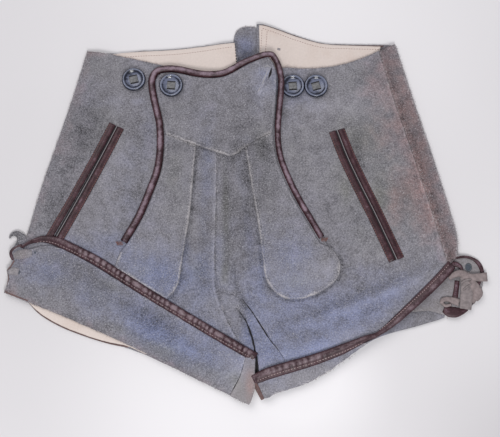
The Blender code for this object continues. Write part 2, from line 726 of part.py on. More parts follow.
def make_left_cuff():
    free = Line(CUFF_FREE_LEFT)
    seam_end = 0.985
    bound = free.moved(-(BINDING_WIDTH + GAP))
    bound = bound.part(0.0, bound.nearest(*CUFF_SEAM[0])[1])
    fold = Line(CUFF_FOLD_LEFT)
    flat_edge = fold.moved(CUFF_ROLL)
    bound = Line(list(CUFF_VENT_TOP) + bound.points, dense=True)
    vent = Line(CUFF_VENT_LEFT, [flat_edge.at(0)])
    seam = Line([bound.at(1)] + list(CUFF_SEAM[1:-1]) + [flat_edge.at(1)])
    across = shares(22, dense_start=0.6)
    upper = patch(bound, flat_edge, vent, seam, across, shares(6))
    rolled = rolled_rows(fold, 1, (5.2, 3.9, 2.6, 1.2, 0.4, 0.0), across, CUFF_ROLL)
    slab("cuff_left", cells(laid(upper, trim_floor) + rolled), "suede")

    low = Line([(x + 0.4, y - 0.4) for x, y in (CUFF_SEAM[-1], CUFF_END_INNER[-1])])
    inner = Line([(x + 0.9, y) for x, y in (seam.at(0), *CUFF_SEAM[1:])])
    top = Line([inner.at(0), (7.5, -126)])
    outer = Line([(7.5, -126), *CUFF_END_INNER[1:-1], low.at(1)])
    inner = Line([*inner.points[:-1], low.at(0)], dense=True)
    back = patch(top, low, inner, outer, shares(4), shares(8))
    slab("cuff_left_end", cells(laid(back, trim_floor)), "suede")

    centre = free.moved(-0.5 * BINDING_WIDTH).part(0.0, seam_end)
    width = lambda share: BINDING_WIDTH * (0.5 + 0.5 * blend(share / 0.25))
    band("cuff_left_binding", centre, width, BINDING_HEIGHT, binding_floor, "binding", 32)


def make_right_hem():
    binding = Line(BINDING_RIGHT)
    stations = [(binding.nearest(x, y)[1], width) for x, y, width in BINDING_RIGHT]

    def width(share):
        for (s0, w0), (s1, w1) in zip(stations, stations[1:]):
            if share <= s1:
                return w0 + (w1 - w0) * (share - s0) / max(s1 - s0, 1e-6)
        return stations[-1][1]

    band("cuff_right_binding", binding, width, BINDING_HEIGHT, binding_floor, "binding", 32)

    fold = Line(TURNUP_FOLD)
    across = shares(15)
    upper_line = []
    for u in across:
        x, y = fold.at(u)
        share = binding.nearest(x, y)[1]
        bx, by = binding.at(share)
        nx, ny = binding.side(share)
        apart = 0.5 * width(share) + GAP
        upper_line.append((bx + nx * apart, by + ny * apart))
    insets = (HEM_INSET - 0.3, 2.6, 1.2, 0.4, 0.0)
    first = fold.moved(-insets[0])
    upper = [upper_line, [mix(start, first.at(u), 0.5) for u, start in zip(across, upper_line)]]
    rolled = rolled_rows(fold, -1, insets, across, HEM_INSET + FOLD_BLUNT)
    slab("cuff_right_turnup", cells(laid(upper, trim_floor) + rolled), "suede")


def make_right_vent():
    tab = patch(
        Line(TAB_TOP), Line(TAB_LOW), Line(TAB_HIDDEN), Line(TAB_RIGHT), shares(10), shares(6)
    )
    slab("vent_tab_right", cells(laid(tab, tab_floor, CUFF_FACING)), "thong")
    arc = Line(((190, -39.8), (195, -39), (202, -40.3), (207.5, -45.5)))
    band("vent_tab_binding", arc, 3.0, 1.2, tab_trim_floor, "binding", 14)
    low = Line(((176, -86.5), (186, -87), (195, -82), (202, -74)))
    band("vent_low_binding", low, 6.0, 1.2, tab_trim_floor, "binding", 10)
    over_binding = STRIP + 0.1
    lace_floor = lambda x, y: tab_trim_floor(x, y) + over_binding * blend((-66 - y) / 6) * blend((x - 186) / 2)
    for name, points, width in (
        ("lace_right_down", ((193.5, -60), (193.5, -70), (190.5, -80)), 10.0),
        ("lace_right_loop", ((171, -78), (178, -77.3), (184.3, -76.5)), 6.5),
        ("lace_right_across", ((184, -57), (190, -53.5), (200, -54), (212, -57)), 7.0),
        ("lace_right_end", ((204, -62.5), (204.5, -67), (202.5, -71)), 5.0),
    ):
        band(name, Line(points), width, STRIP, lace_floor, "thong", 6)


def make_left_lace():
    """The left vent's thong: two turns over the cuff's end, and a curled free end."""
    cuff_top = lambda x, y: trim_floor(x, y) + SUEDE + 2 * GAP
    for name, y in (("lace_left_turn_upper", -38.0), ("lace_left_turn_lower", -45.5)):
        line = Line(((-202, y), (-196, y + 0.6), (-188, y)))
        band(name, line, 5.0, STRIP, cuff_top, "suede", 6)
    curl = Line(((-202, -23.5), (-202, -18.5), (-206, -15.5), (-210, -17.5), (-212, -21)))
    width = lambda share: 5.5 - 4.0 * share
    settle = lambda x, y: 4.2 * blend((x + 214) / 15)
    band("lace_left_end", curl, width, STRIP, settle, "suede", 9)


def turned(name, rings, centre, base, sides, finish_name):
    """A closed solid of revolution from rings of (radius, height), closed at the axis."""
    points = [(centre[0], centre[1], base)]
    for radius, height in rings:
        for k in range(sides):
            angle = 2 * math.pi * k / sides
            points.append(
                (centre[0] + radius * math.cos(angle), centre[1] + radius * math.sin(angle), base + height)
            )
    points.append((centre[0], centre[1], base + BUTTON_DISH))
    last = len(points) - 1
    faces = []
    for k in range(sides):
        n = (k + 1) % sides
        faces.append([0, 1 + n, 1 + k])
        for ring in range(len(rings) - 1):
            a = 1 + ring * sides
            faces.append([a + k, a + n, a + sides + n, a + sides + k])
        top = 1 + (len(rings) - 1) * sides
        faces.append([top + k, top + n, last])
    new_object(name, points, faces, finish_name)


def make_buttons():
    """Four dished horn buttons, each held by a thong whose square stitch fills the dish."""
    for number, (x, y, on_flap) in enumerate(BUTTONS, start=1):
        carrier = (lambda a, b: flap_floor(a, b) + SUEDE + GAP) if on_flap else trim_floor
        ring = [carrier(x, y)]
        for radius in (0.5 * BUTTON_RADIUS, BUTTON_RADIUS):
            for k in range(8):
                angle = math.pi * k / 4
                ring.append(carrier(x + radius * math.cos(angle), y + radius * math.sin(angle)))
        base = max(ring)
        turned(f"button_{number}", BUTTON_PROFILE, (x, y), base, BUTTON_SIDES, "horn")
        half = 0.5 * THONG
        low = base + BUTTON_PROFILE[-1][1] + GAP
        line = Line(((x - half, y), (x + half, y)))
        band(f"button_{number}_thong", line, THONG, 1.5, lambda a, b: low, "thong", 2)


def main():
    for old in list(bpy.data.objects):
        bpy.data.objects.remove(old, do_unlink=True)
    make_back()
    make_back_right()
    make_facings()
    make_gusset(*make_fronts())
    make_flap()
    make_pockets()
    make_left_cuff()
    make_right_hem()
    make_right_vent()
    make_left_lace()
    make_buttons()


main()
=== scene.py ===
# %% [markdown]
# # A child's short suede lederhosen, laid flat
# The solid model gives the sizes, the places and what MuJoCo collides with.  This lesson dresses
# it: thin suede shells with soft edges and creases, ruched leather bindings, stitches, horn
# buttons and thongs.  Loading the frame comes first, because every piece takes its place from it.

# %% Load the solid model
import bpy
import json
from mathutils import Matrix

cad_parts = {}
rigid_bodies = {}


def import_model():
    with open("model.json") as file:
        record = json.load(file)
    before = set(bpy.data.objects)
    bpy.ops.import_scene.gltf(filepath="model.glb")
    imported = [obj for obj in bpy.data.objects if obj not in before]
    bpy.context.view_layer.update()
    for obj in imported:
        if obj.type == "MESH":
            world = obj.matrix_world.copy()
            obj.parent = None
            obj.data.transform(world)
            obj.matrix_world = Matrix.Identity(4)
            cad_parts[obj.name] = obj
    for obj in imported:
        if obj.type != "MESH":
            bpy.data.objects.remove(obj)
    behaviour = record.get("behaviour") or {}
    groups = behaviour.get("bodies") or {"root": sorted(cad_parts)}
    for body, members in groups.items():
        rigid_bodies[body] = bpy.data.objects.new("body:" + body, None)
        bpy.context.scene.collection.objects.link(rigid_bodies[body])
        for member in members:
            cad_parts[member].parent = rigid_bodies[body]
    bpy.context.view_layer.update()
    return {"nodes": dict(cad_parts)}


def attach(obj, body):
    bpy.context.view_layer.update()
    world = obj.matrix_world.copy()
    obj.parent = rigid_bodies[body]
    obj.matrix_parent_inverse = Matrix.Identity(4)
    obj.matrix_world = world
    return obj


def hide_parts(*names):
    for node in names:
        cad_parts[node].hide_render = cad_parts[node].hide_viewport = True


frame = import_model()
print("solid nodes:", len(frame["nodes"]))

# %% Modules and units
import json
import math

import bpy
import numpy as np
from mathutils import Vector, geometry, noise
from mathutils.bvhtree import BVHTree

MM = 0.001
CENTRE = np.array([-1.05, 5.63])        # the tables' zero lies this far from the middle, in mm


def placed(points):
    """Table millimetres to the frame's metres."""
    points = np.array(points, float)
    points[:, :2] -= CENTRE
    return points * MM


# %% [markdown]
# ## Camera, floor and light
# The garment lies on a pale floor and is looked at from almost straight above, ten degrees off.
# A long lens keeps its outline square.  A wide soft light from the upper left and an even pale
# world are enough: suede has no sharp highlights, and strong light would flatten its nap.

# %% Camera
ELEVATION = math.radians(80)
DISTANCE = 1000.0
AIM = np.array([3.375, -3.54, 3.37])    # the point that the camera looks at, in table mm
LENS = 80
SENSOR = 36

camera = bpy.data.objects.new("camera", bpy.data.cameras.new("camera"))
bpy.context.scene.collection.objects.link(camera)
camera.data.lens = LENS
camera.data.sensor_width = SENSOR
back_off = np.array([0, -math.cos(ELEVATION), math.sin(ELEVATION)]) * DISTANCE
camera.location = placed([AIM + back_off])[0]
camera.rotation_euler = (math.pi / 2 - ELEVATION, 0, 0)
bpy.context.scene.camera = camera
print("camera at", tuple(round(c, 3) for c in camera.location))

# %% Floor
FLOOR_HALF = 4.0            # metres
FLOOR_HEIGHT = -0.0003      # just under the garment, so that no two faces share a place

bpy.context.scene.view_settings.view_transform = "Standard"
floor_mesh = bpy.data.meshes.new("floor")
low, high = -FLOOR_HALF, FLOOR_HALF
corners = ((low, low), (high, low), (high, high), (low, high))
floor_mesh.from_pydata([(x, y, FLOOR_HEIGHT) for x, y in corners], [], [(0, 1, 2, 3)])
floor = bpy.data.objects.new("floor", floor_mesh)
bpy.context.scene.collection.objects.link(floor)
print("floor:", 2 * FLOOR_HALF, "m square")

# %% Light
WORLD_COLOUR = (0.93, 0.93, 1.0, 1)
WORLD_STRENGTH = 0.43

world = bpy.data.worlds.new("studio")
bpy.context.scene.world = world
world.use_nodes = True
background = world.node_tree.nodes["Background"]
background.inputs["Color"].default_value = WORLD_COLOUR
background.inputs["Strength"].default_value = WORLD_STRENGTH


def soft_light(name, spot, size, power, colour=(1, 1, 1)):
    """A square lamp that points at the middle of the garment."""
    lamp = bpy.data.lights.new(name, "AREA")
    lamp.size = size
    lamp.energy = power
    lamp.color = colour
    light = bpy.data.objects.new(name, lamp)
    bpy.context.scene.collection.objects.link(light)
    light.location = spot
    light.rotation_euler = (-Vector(spot)).to_track_quat("-Z", "Y").to_euler()
    print(f"{name}: {power} watts, {light.location.length:.2f} m away")


soft_light("window", (-0.85, 1.1, 1.9), 1.8, 23.1, (1.0, 0.985, 0.97))
soft_light("lamp", (0.12, -0.85, 1.15), 0.45, 11.0)

# %% [markdown]
# ## Lines
# A pattern maker draws seams and edges as smooth curves through a few marks.  A Path does the
# same and can be measured: a point at a share of its length, the direction to its side, and how
# far any other point lies from it.  NumPy does this for thousands of points at once.

# %% Path
CHUNK = 4000                # points are measured in lots of this many, to spare memory
TINY = 1e-9


class Path:
    """A smooth line through a few (x, y) marks, in millimetres."""

    def __init__(self, *parts, smooth=True):
        marks = np.array([tuple(mark[:2]) for part in parts for mark in part], float)
        self.points = self.curve(marks) if smooth else marks
        lengths = np.linalg.norm(np.diff(self.points, axis=0), axis=1)
        self.along = np.concatenate([[0], np.cumsum(lengths)])
        self.length = self.along[-1]

    @staticmethod
    def curve(marks, steps=8):
        """Catmull-Rom through the marks."""
        ends = np.vstack([marks[:1], marks, marks[-1:]])
        p, a, b, q = ends[:-3], ends[1:-2], ends[2:-1], ends[3:]
        t = np.linspace(0, 1, steps, endpoint=False)[None, :, None]
        p, a, b, q = (v[:, None] for v in (p, a, b, q))
        run = (
            a + 0.5 * t * (b - p) + t**2 * (p - 2.5 * a + 2 * b - 0.5 * q)
            + t**3 * (1.5 * (a - b) + 0.5 * (q - p))
        )
        return np.vstack([run.reshape(-1, 2), marks[-1:]])

    def at(self, share):
        """The point at a share of the length."""
        far = np.clip(np.asarray(share, float), 0, 1) * self.length
        return np.stack([np.interp(far, self.along, self.points[:, k]) for k in (0, 1)], -1)

    def side(self, share):
        """The unit direction to the left of travel."""
        share = np.asarray(share, float)
        ahead = self.at(share + 0.004) - self.at(share - 0.004)
        ahead /= np.maximum(np.linalg.norm(ahead, axis=-1, keepdims=True), TINY)
        return np.stack([-ahead[..., 1], ahead[..., 0]], -1)

    def nearest(self, xy):
        """Distance to the line and the share of its length there."""
        a, b = self.points[:-1], self.points[1:]
        run = b - a
        size = np.maximum((run**2).sum(1), 1e-12)
        gaps, shares = [], []
        for start in range(0, len(xy), CHUNK):
            chunk = xy[start:start + CHUNK, None] - a[None]
            t = np.clip((chunk * run).sum(2) / size, 0, 1)
            gap = np.linalg.norm(chunk - t[..., None] * run, axis=2)
            best = gap.argmin(1)
            rows = np.arange(len(best))
            gaps.append(gap[rows, best])
            shares.append((self.along[best] + t[rows, best] * np.sqrt(size[best])) / self.length)
        return np.concatenate(gaps), np.concatenate(shares)

    def distance(self, xy):
        return self.nearest(xy)[0]

    def near(self, xy, reach):
        """Which points lie in the line's box, made this much larger."""
        low, high = self.points.min(0) - reach, self.points.max(0) + reach
        return np.flatnonzero(((xy > low) & (xy < high)).all(1))

    def inside(self, xy, interior):
        """Distance into the garment; interior is 1 left of travel, -1 right, 0 both."""
        gap, share = self.nearest(xy)
        if interior == 0:
            return gap
        across = ((xy - self.at(share)) * self.side(share)).sum(1) * interior
        return np.where(across > 0, gap, 0.0)

    def moved(self, left, samples=120):
        """The same line, this far to the left of travel."""
        share = np.linspace(0, 1, samples)
        return Path(self.at(share) + left * self.side(share), smooth=False)

    def part(self, start, end, samples=60):
        """The stretch between two shares of the length."""
        return Path(self.at(np.linspace(start, end, samples)), smooth=False)


# %% [markdown]
# ## Heights
# Each layer of the garment lies on the one below, so its height is worked out from that one.
# These are the solid model's own rules and sizes, with one thing more: creases.  Because every
# layer takes its height from `front_floor`, a crease lifts the flap, the welts and the stitches
# above it as well, and nothing cuts through anything.

# %% Driving sizes
SUEDE = 1.8                 # thickness of the garment leather, and all sizes here are in mm
FACING = 1.0                # thickness of the cream facing
TAB_LEATHER = 1.4           # thickness of the vent's tab
GAP = 0.3                   # air between two layers
LINING_GAP = 0.5            # air under a facing
LOFT = 3.3                  # how far the middle of a front stands off the back
ROLL = 16.0                 # how far from a side the front takes to come up
MOUTH, MOUTH_DEPTH = 0.65, 35.0         # share of the loft at an open edge, and how far in that reaches
SEAM_FLOOR = SUEDE + GAP    # a front's underside where it meets the back
FOLD_STEP = 0.3             # the front is this much higher towards the folded side
FOLD_STEP_FROM, FOLD_STEP_RUN = 60, 60  # where that rise starts across, and how long it is
FOLD_RADIUS = 2.2           # of the right side's fold
CUFF_ROLL = 7.0             # how wide the turned-up cuff's roll is
FOLD_BLUNT = 0.45           # how far the fold's edge is blunted
HEM_INSET = 4.2             # the layer inside a turned-up cuff ends this far from the fold
FOLD_FLOOR = SUEDE + GAP + FACING + GAP             # a turned-up cuff's underside at its fold
CORNER_LIFT = 4.6           # the flap's loose corner stands this much higher
CORNER_FROM, CORNER_RUN = (-22, 74), (46, 30)       # where that rise starts and how long it is
TONGUE_LEFT, TONGUE_RIGHT, TONGUE_LOW = -14.0, 16.0, 138.0      # its sides and its lower end
TONGUE_REACH, TONGUE_RUN = 28.0, 24.0   # this far from the tongue the back is down, after this slope
TAB_FROM, TAB_RUN = 186.0, 20.0         # the vent's tab slopes to the floor from here, over this length
print(f"the fronts stand up to {SEAM_FLOOR + LOFT + FOLD_STEP:.1f} mm off the floor, without creases")

# %% Edges that shape the heights
WAIST_LEFT = ((-147, 153), (-128, 150), (-97, 143.5), (-58, 134.5))
WAIST_RIGHT = ((7, 131), (34, 136.5), (50, 136), (67, 136.5), (89, 140), (111, 147.5), (122.5, 153))
SIDE_LEFT = ((-147, 153.5), (-159, 110), (-171, 70), (-184, 29), (-197, -20), (-205, -45), (-212, -69))
FOLD_RIGHT = ((138, 160), (154.5, 103), (170.5, 50.5), (186, -5), (189.5, -24), (189, -38))
VENT_RIGHT = ((189, -38), (187, -54), (183, -74), (178, -93))
SEAM_RIGHT = ((122.5, 153), (135, 107), (143.5, 79.5), (163.5, 14.5), (176, -32.5), (180.5, -46))
LEG_GAP = ((-1.8, -92), (3.5, -104.8), (7, -118.8), (9.3, -131.5), (10.3, -148))
CUFF_FOLD_LEFT = ((-215, -70.5), (-156, -94), (-97, -120), (-43, -147), (-14, -160.5))
BINDING_LEFT = (
    (-201, -30), (-195, -26.3), (-188.5, -24.2), (-181, -23), (-172, -24.2), (-162, -28.2), (-147.8, -35),
    (-129.8, -44.6), (-82.8, -74.3), (-25, -109), (8.4, -128),
)
LEG_EDGE_RIGHT = (
    (180.5, -46), (172, -62), (145, -87.5), (117, -110), (102, -120),
    (86, -131.5), (57, -148.5), (28, -158), (14, -163),
)
TURNUP_FOLD = ((96, -124.5), (86, -131.5), (57, -148.5), (28, -158), (14, -163))
SIDE_EDGES = ((Path(SIDE_LEFT), 1), (Path(FOLD_RIGHT, VENT_RIGHT), -1), (Path(LEG_GAP), 0))
OPEN_EDGES = (Path(WAIST_LEFT), Path(WAIST_RIGHT), Path(CUFF_FOLD_LEFT), Path(LEG_EDGE_RIGHT))
for label, marks in (("left", SIDE_LEFT), ("right", FOLD_RIGHT)):
    print(f"the {label} side is {Path(marks).length:.0f} mm long")

# %% [markdown]
# ## Creases and wrinkles
# Worn leather keeps the folds of the body: long soft creases at the thigh and fine wrinkles beside
# the flap, the waist and the crotch.  A cloth simulation would put them in places of its own, so
# each is a soft ridge or trough along a line instead, which wanders a little and fades at its ends.

# %% Creases and wrinkles
CREASES = (
    # x0, y0, x1, y1, width, height; these are the broad ones
    (48, -98, 150, -58, 9.0, 1.1),
    (140, -76, 185, -46, 20.0, 1.7),
    (-118, 60, -140, -10, 16.0, 0.7),
    (100, 95, 112, 60, 15.0, 0.6),
    (-26, 40, -27, -40, 14.0, -0.5),
    (7, 133, 34, 137, 14.0, 1.3),
)
WRINKLES = (
    # x0, y0, x1, y1, width, height
    (48, -98.5, 106, -75.5, 2.2, 0.9),
    (106, -75.5, 177, -45.5, 2.6, 0.8),
    (46, -92, 104, -68, 5.0, -0.9),
    (104, -68, 166, -42, 6.0, -0.7),
    (52, -106, 150, -66, 5.0, -0.4),
    (19.9, 125, 8.5, 100, 1.0, 0.7),
    (18.5, 127, 4, 108, 1.8, -0.5),
    (16, 130, 0, 117, 1.6, 0.45),
    (23.5, 122, 17, 98, 2.0, -0.45),
    (13, 128, 3, 122, 2.2, -0.4),
    (-151, 110, -87, 94, 3.0, 0.7),
    (-147, 104, -88, 88, 3.2, -0.6),
    (-146, 116, -92, 108, 3.0, -0.45),
    (-138, 99, -104, 84, 2.4, 0.4),
    (-136, 134, -112, 120, 4.0, -0.4),
    (-150, 140, -132, 134, 3.0, 0.35),
    (-10, -56, -2.5, -79, 3.2, -1.2),
    (-16, -50, -8, -88, 3.5, 0.8),
    (-25, -44, -16, -92, 3.4, 0.6),
    (-3, -46, 12, -80, 4.0, 0.8),
    (4, -60, 20, -96, 3.5, -0.5),
    (-37, -6, -36, -74, 6.5, -0.9),
    (-44, 30, -41, -60, 4.0, 0.5),
    (-37, 52, -38, 0, 5.0, -0.6),
    (-12, 48, -14, -30, 6.0, -0.8),
    (-20, 40, -21, -36, 3.0, 0.5),
    (-25, 120, -28, 70, 6.0, -0.6),
    (-6, 128, -8, 62, 6.0, 0.5),
    (-66, 112, -40, 96, 6.0, -0.4),
    (-60, 92, -44, 74, 6.0, 0.35),
    (35, 100, 90, 96, 1.8, 0.45),
    (38, 95, 88, 91, 2.6, -0.4),
    (125, 148, 92, 118, 5.0, -0.6),
    (131, 138, 98, 108, 4.0, 0.4),
    (100, 132, 84, 124, 4.0, -0.35),
    (88, -8, 101, -28, 6.0, -0.9),
    (96, 14, 112, -14, 6.0, 0.5),
    (62, 60, 78, 20, 9.0, -0.5),
    (128, 110, 150, 30, 8.0, -0.5),
    (120, 40, 136, 0, 7.0, 0.45),
    (38, -80, 110, -82, 7.0, -0.4),
    (-60, 30, -66, -20, 6.0, 0.4),
    (-100, 20, -82, -20, 7.0, -0.4),
    (-92, -40, -78, -62, 8.0, 0.5),
    (-104, 60, -112, 20, 7.0, -0.5),
    (-134, 20, -142, -20, 7.0, 0.4),
    (40, -30, 60, -64, 7.0, 0.4),
    (120, -30, 168, -30, 9.0, 0.45),
    (-150, -60, -110, -84, 9.0, 0.5),
    (-120, -72, -70, -96, 7.0, -0.45),
    (-70, -108, -30, -130, 7.0, 0.4),
)
print(len(CREASES), "creases and", len(WRINKLES), "wrinkles")

# %% Steps, hills and wrinkled leather


def step(amount):
    """An S-shaped step from 0 to 1."""
    amount = np.clip(amount, 0, 1)
    return amount * amount * (3 - 2 * amount)


def wavy(xy, size, seed=0.0):
    """Soft random hills between -1 and 1, about size millimetres across."""
    return np.array([noise.noise((x / size, y / size, seed)) for x, y in xy])


def wrinkled(xy):
    """Listed creases that wander and fade unevenly, and the leather's own unevenness."""
    height = 0.34 * wavy(xy, 30, 3.0) + 0.15 * wavy(xy, 9, 8.0) + 0.05 * wavy(xy, 3.6, 9.0)
    wander = 3.0 * wavy(xy, 22, 5.0)
    uneven = 0.75 + 0.5 * wavy(xy, 13, 6.0)
    for x0, y0, x1, y1, width, lift in WRINKLES:
        line = Path(((x0, y0), (x1, y1)), smooth=False)
        here = line.near(xy, 3 * width)
        if not len(here):
            continue
        gap, share = line.nearest(xy[here])
        ends = np.sin(np.pi * np.clip(0.08 + 0.84 * share, 0, 1)) ** 0.6
        away = gap + 0.35 * wander[here]
        height[here] += lift * uneven[here] * ends * np.exp(-(away / width) ** 2)
    return height


# %% How high each layer lies


def front_floor(xy):
    """Underside of the fronts."""
    rise = np.ones(len(xy))
    for edge, interior in SIDE_EDGES:
        rise *= np.sin(0.5 * np.pi * np.minimum(1, edge.inside(xy, interior) / ROLL))
    for edge in OPEN_EDGES:
        rise *= MOUTH + (1 - MOUTH) * step(edge.distance(xy) / MOUTH_DEPTH)
    height = SEAM_FLOOR + LOFT * rise + FOLD_STEP * step((xy[:, 0] - FOLD_STEP_FROM) / FOLD_STEP_RUN)
    held = np.minimum(1, 2 * rise)
    for x0, y0, x1, y1, width, lift in CREASES:
        gap = Path(((x0, y0), (x1, y1)), smooth=False).distance(xy)
        height += lift * np.exp(-(gap / width) ** 2) * held
    return height + wrinkled(xy) * held**2


def front_roof(xy):
    """Outer side of the fronts."""
    return front_floor(xy) + SUEDE


def trim_floor(xy):
    """Underside of what is sewn onto the fronts."""
    return front_roof(xy) + GAP


def flap_floor(xy):
    """The flap's unbuttoned corner rides over a button."""
    across, up = ((xy[:, k] - CORNER_FROM[k]) / CORNER_RUN[k] for k in (0, 1))
    return trim_floor(xy) + CORNER_LIFT * step(across) * step(up)


def back_floor(xy):
    """The back rests on the floor and rises over the tongue behind its slit."""
    side = np.maximum.reduce([TONGUE_LEFT - xy[:, 0], np.zeros(len(xy)), xy[:, 0] - TONGUE_RIGHT])
    gap = np.hypot(side, np.maximum(TONGUE_LOW - xy[:, 1], 0))
    return SEAM_FLOOR * step((TONGUE_REACH - gap) / TONGUE_RUN)


def facing_floor(xy):
    """Underside of a facing on the back."""
    return back_floor(xy) + SUEDE + LINING_GAP


def tab_floor(xy):
    """The vent tab comes down from the back to the floor."""
    return SEAM_FLOOR * (1 - step((xy[:, 0] - TAB_FROM) / TAB_RUN))


def tab_roof(xy):
    """Upper side of the vent tab."""
    return tab_floor(xy) + TAB_LEATHER


def on_floor(xy):
    """What lies flat on the table."""
    return np.zeros(len(xy))


def rolled(fold, depth):
    """Height of a turned-up cuff: flat, then rolled down round the leg's edge to its fold."""
    def height(xy):
        flat = trim_floor(xy) + SUEDE
        edge = FOLD_FLOOR + 0.5 * SUEDE
        turn = np.sqrt(1 - (1 - np.minimum(1, (fold.distance(xy) + FOLD_BLUNT) / depth)) ** 2)
        return edge + (flat - edge) * turn
    return height


print("front stands", round(float(front_floor(np.array([[100.0, 60.0]]))[0]), 2), "mm off the floor")

# %% [markdown]
# ## Shaders as sums
# A finish is easier to read as arithmetic than as a picture of nodes.  `Wire` wraps one socket,
# and a sum of wires adds the Math nodes by itself.  `Finish` makes one material and has a single
# method for every other kind of node.

# %% Wire


class Wire:
    """An output socket that can be used in sums."""

    def __init__(self, finish, socket):
        self.finish, self.socket = finish, socket

    def math(self, operation, *terms):
        return self.finish.node("ShaderNodeMath", {"operation": operation}, dict(enumerate(terms)))

    def __add__(self, other):
        return self.math("ADD", self, other)

    def __radd__(self, other):
        return self.math("ADD", other, self)

    def __sub__(self, other):
        return self.math("SUBTRACT", self, other)

    def __rsub__(self, other):
        return self.math("SUBTRACT", other, self)

    def __mul__(self, other):
        return self.math("MULTIPLY", self, other)

    def __rmul__(self, other):
        return self.math("MULTIPLY", other, self)

    def between(self, low, high):
        """0 below low, 1 above high, and a smooth step in between."""
        return self.finish.node(
            "ShaderNodeMapRange", {"interpolation_type": "SMOOTHSTEP"},
            {"Value": self, "From Min": low, "From Max": high},
        )


# %% Finish


class Finish:
    """One material on a Principled shader.  Constants go straight onto its sockets."""

    def __init__(self, name, **constants):
        self.material = bpy.data.materials.new(name)
        self.material.use_nodes = True
        self.tree = self.material.node_tree
        self.shader = self.tree.nodes["Principled BSDF"]
        for socket, value in constants.items():
            self.shader.inputs[socket.replace("_", " ")].default_value = value

    def plug(self, value, socket):
        """Link a wire to a socket, or write a constant on it."""
        if isinstance(value, Wire):
            self.tree.links.new(value.socket, socket)
        else:
            socket.default_value = value

    def node(self, kind, settings=None, inputs=None, output=0):
        """Any node: its type, its settings, which are set first, and what goes into its sockets."""
        made = self.tree.nodes.new(kind)
        for name, value in (settings or {}).items():
            setattr(made, name, value)
        for name, value in (inputs or {}).items():
            self.plug(value, made.inputs[name])
        return Wire(self, made.outputs[output])

    def here(self):
        """The point on the garment, in metres."""
        return self.node("ShaderNodeTexCoord", output="Object")

    def speckle(self, millimetres, detail=2.0, roughness=0.5, stretch=(1, 1, 1)):
        """Noise whose blotches are about this many millimetres across, centred on 0.5."""
        where = self.node(
            "ShaderNodeVectorMath", {"operation": "MULTIPLY"}, {0: self.here(), 1: stretch}
        )
        return self.node(
            "ShaderNodeTexNoise", None,
            {"Vector": where, "Scale": 1000 / millimetres, "Detail": detail, "Roughness": roughness},
        )

    def blend(self, a, b, amount, how="MIX"):
        """Mix two colours."""
        return self.node(
            "ShaderNodeMix", {"data_type": "RGBA", "blend_type": how}, {0: amount, 6: a, 7: b}, output=2
        )

    def grey(self, value):
        """The same value in all three colours, so that a colour can be multiplied by it."""
        return self.node("ShaderNodeCombineColor", None, {0: value, 1: value, 2: value})

    def stored(self, name, output="Fac"):
        """Something kept at every point of the mesh."""
        return self.node("ShaderNodeAttribute", {"attribute_name": name}, output=output)

    def patina(self):
        """The masks stored on the cloth: blue, olive, pink, and dark, which is partly soil and partly painted
        shade.
        """
        split = self.node("ShaderNodeSeparateColor", None, {0: self.stored("patina", "Color")})
        three = [Wire(self, split.socket.node.outputs[k]) for k in range(3)]
        return (*three, self.stored("patina", "Alpha"))

    def bump(self, height, strength, millimetres):
        """A normal that makes this height show as relief."""
        return self.node(
            "ShaderNodeBump", None, {"Height": height, "Strength": strength, "Distance": millimetres * MM}
        )

    def set(self, **sockets):
        """Feed the Principled shader and hand back the finished material."""
        for name, value in sockets.items():
            self.plug(value, self.shader.inputs[name.replace("_", " ")])
        return self.material


# %% [markdown]
# ## Suede
# Suede is split leather with a brushed nap.  Here it was dyed blue-grey, and years of wear turned
# it olive in the middle, pink along the right side, and pale on its edges.  The slow changes are
# masks stored on the mesh, because they belong to places; the dark mask also holds painted shade in
# folds and beside raised seams, and painted highlight on some fold crests.  The fast ones, such as
# mottling and single light fibres, are noise, because they belong to the material.

# %% Suede
SUEDE_GREY = (0.196, 0.190, 0.210, 1)
SUEDE_BLUE = (0.158, 0.178, 0.280, 1)
SUEDE_OLIVE = (0.158, 0.157, 0.142, 1)
SUEDE_PINK = (0.245, 0.158, 0.152, 1)
SUEDE_WORN = (0.385, 0.365, 0.37, 1)
SUEDE_FIBRE = (0.42, 0.41, 0.43, 1)
SUEDE_PALE = (0.30, 0.27, 0.26, 1)


def make_suede(name, pale=0.0):
    """Suede whose blue, olive, pink and worn parts are stored on the mesh; pale is how faded it is."""
    suede = Finish(name, Roughness=0.95, Sheen_Weight=0.12, Sheen_Roughness=0.5, Specular_IOR_Level=0.12)
    blue, olive, pink, dark = suede.patina()
    worn = suede.stored("worn")
    cloud = suede.speckle(34, 2, 0.5) - 0.5
    mottle = suede.speckle(10, 1, 0.5) - 0.5
    nap = suede.speckle(1.35, 2, 0.7) - 0.5
    fibre = suede.speckle(0.9, 1, 0.5)
    colour = suede.blend(SUEDE_GREY, SUEDE_BLUE, (blue + cloud * 0.6 + mottle * 0.4).between(-0.05, 1.0))
    colour = suede.blend(colour, SUEDE_OLIVE, (olive + mottle * 0.5 - cloud * 0.7).between(0.0, 1.1) * 0.85)
    colour = suede.blend(colour, SUEDE_PINK, (pink + mottle * 0.6 + cloud * 0.4).between(0.05, 1.0) * 0.85)
    colour = suede.blend(colour, SUEDE_WORN, (worn + nap * 1.5).between(0.25, 1.05) * 0.8)
    # the dark mask darkens with soil and painted shade, and lightens below 0.5 with wear and painted
    # highlight
    shade = 1.4 + mottle * 0.7 + nap * 1.9 - dark * 0.8
    colour = suede.blend(colour, suede.grey(shade), 1.0, "MULTIPLY")
    colour = suede.blend(colour, SUEDE_FIBRE, fibre.between(0.58, 0.74) * 0.62)
    if pale:
        colour = suede.blend(colour, SUEDE_PALE, pale)
    relief = nap * 0.6 + mottle * 0.3 + fibre * 0.4
    return suede.set(Base_Color=colour, Normal=suede.bump(relief, 0.7, 0.5))


suede = make_suede("suede")
suede_pale = make_suede("suede rubbed pale", 0.4)
print("finishes:", suede.name, "and", suede_pale.name)
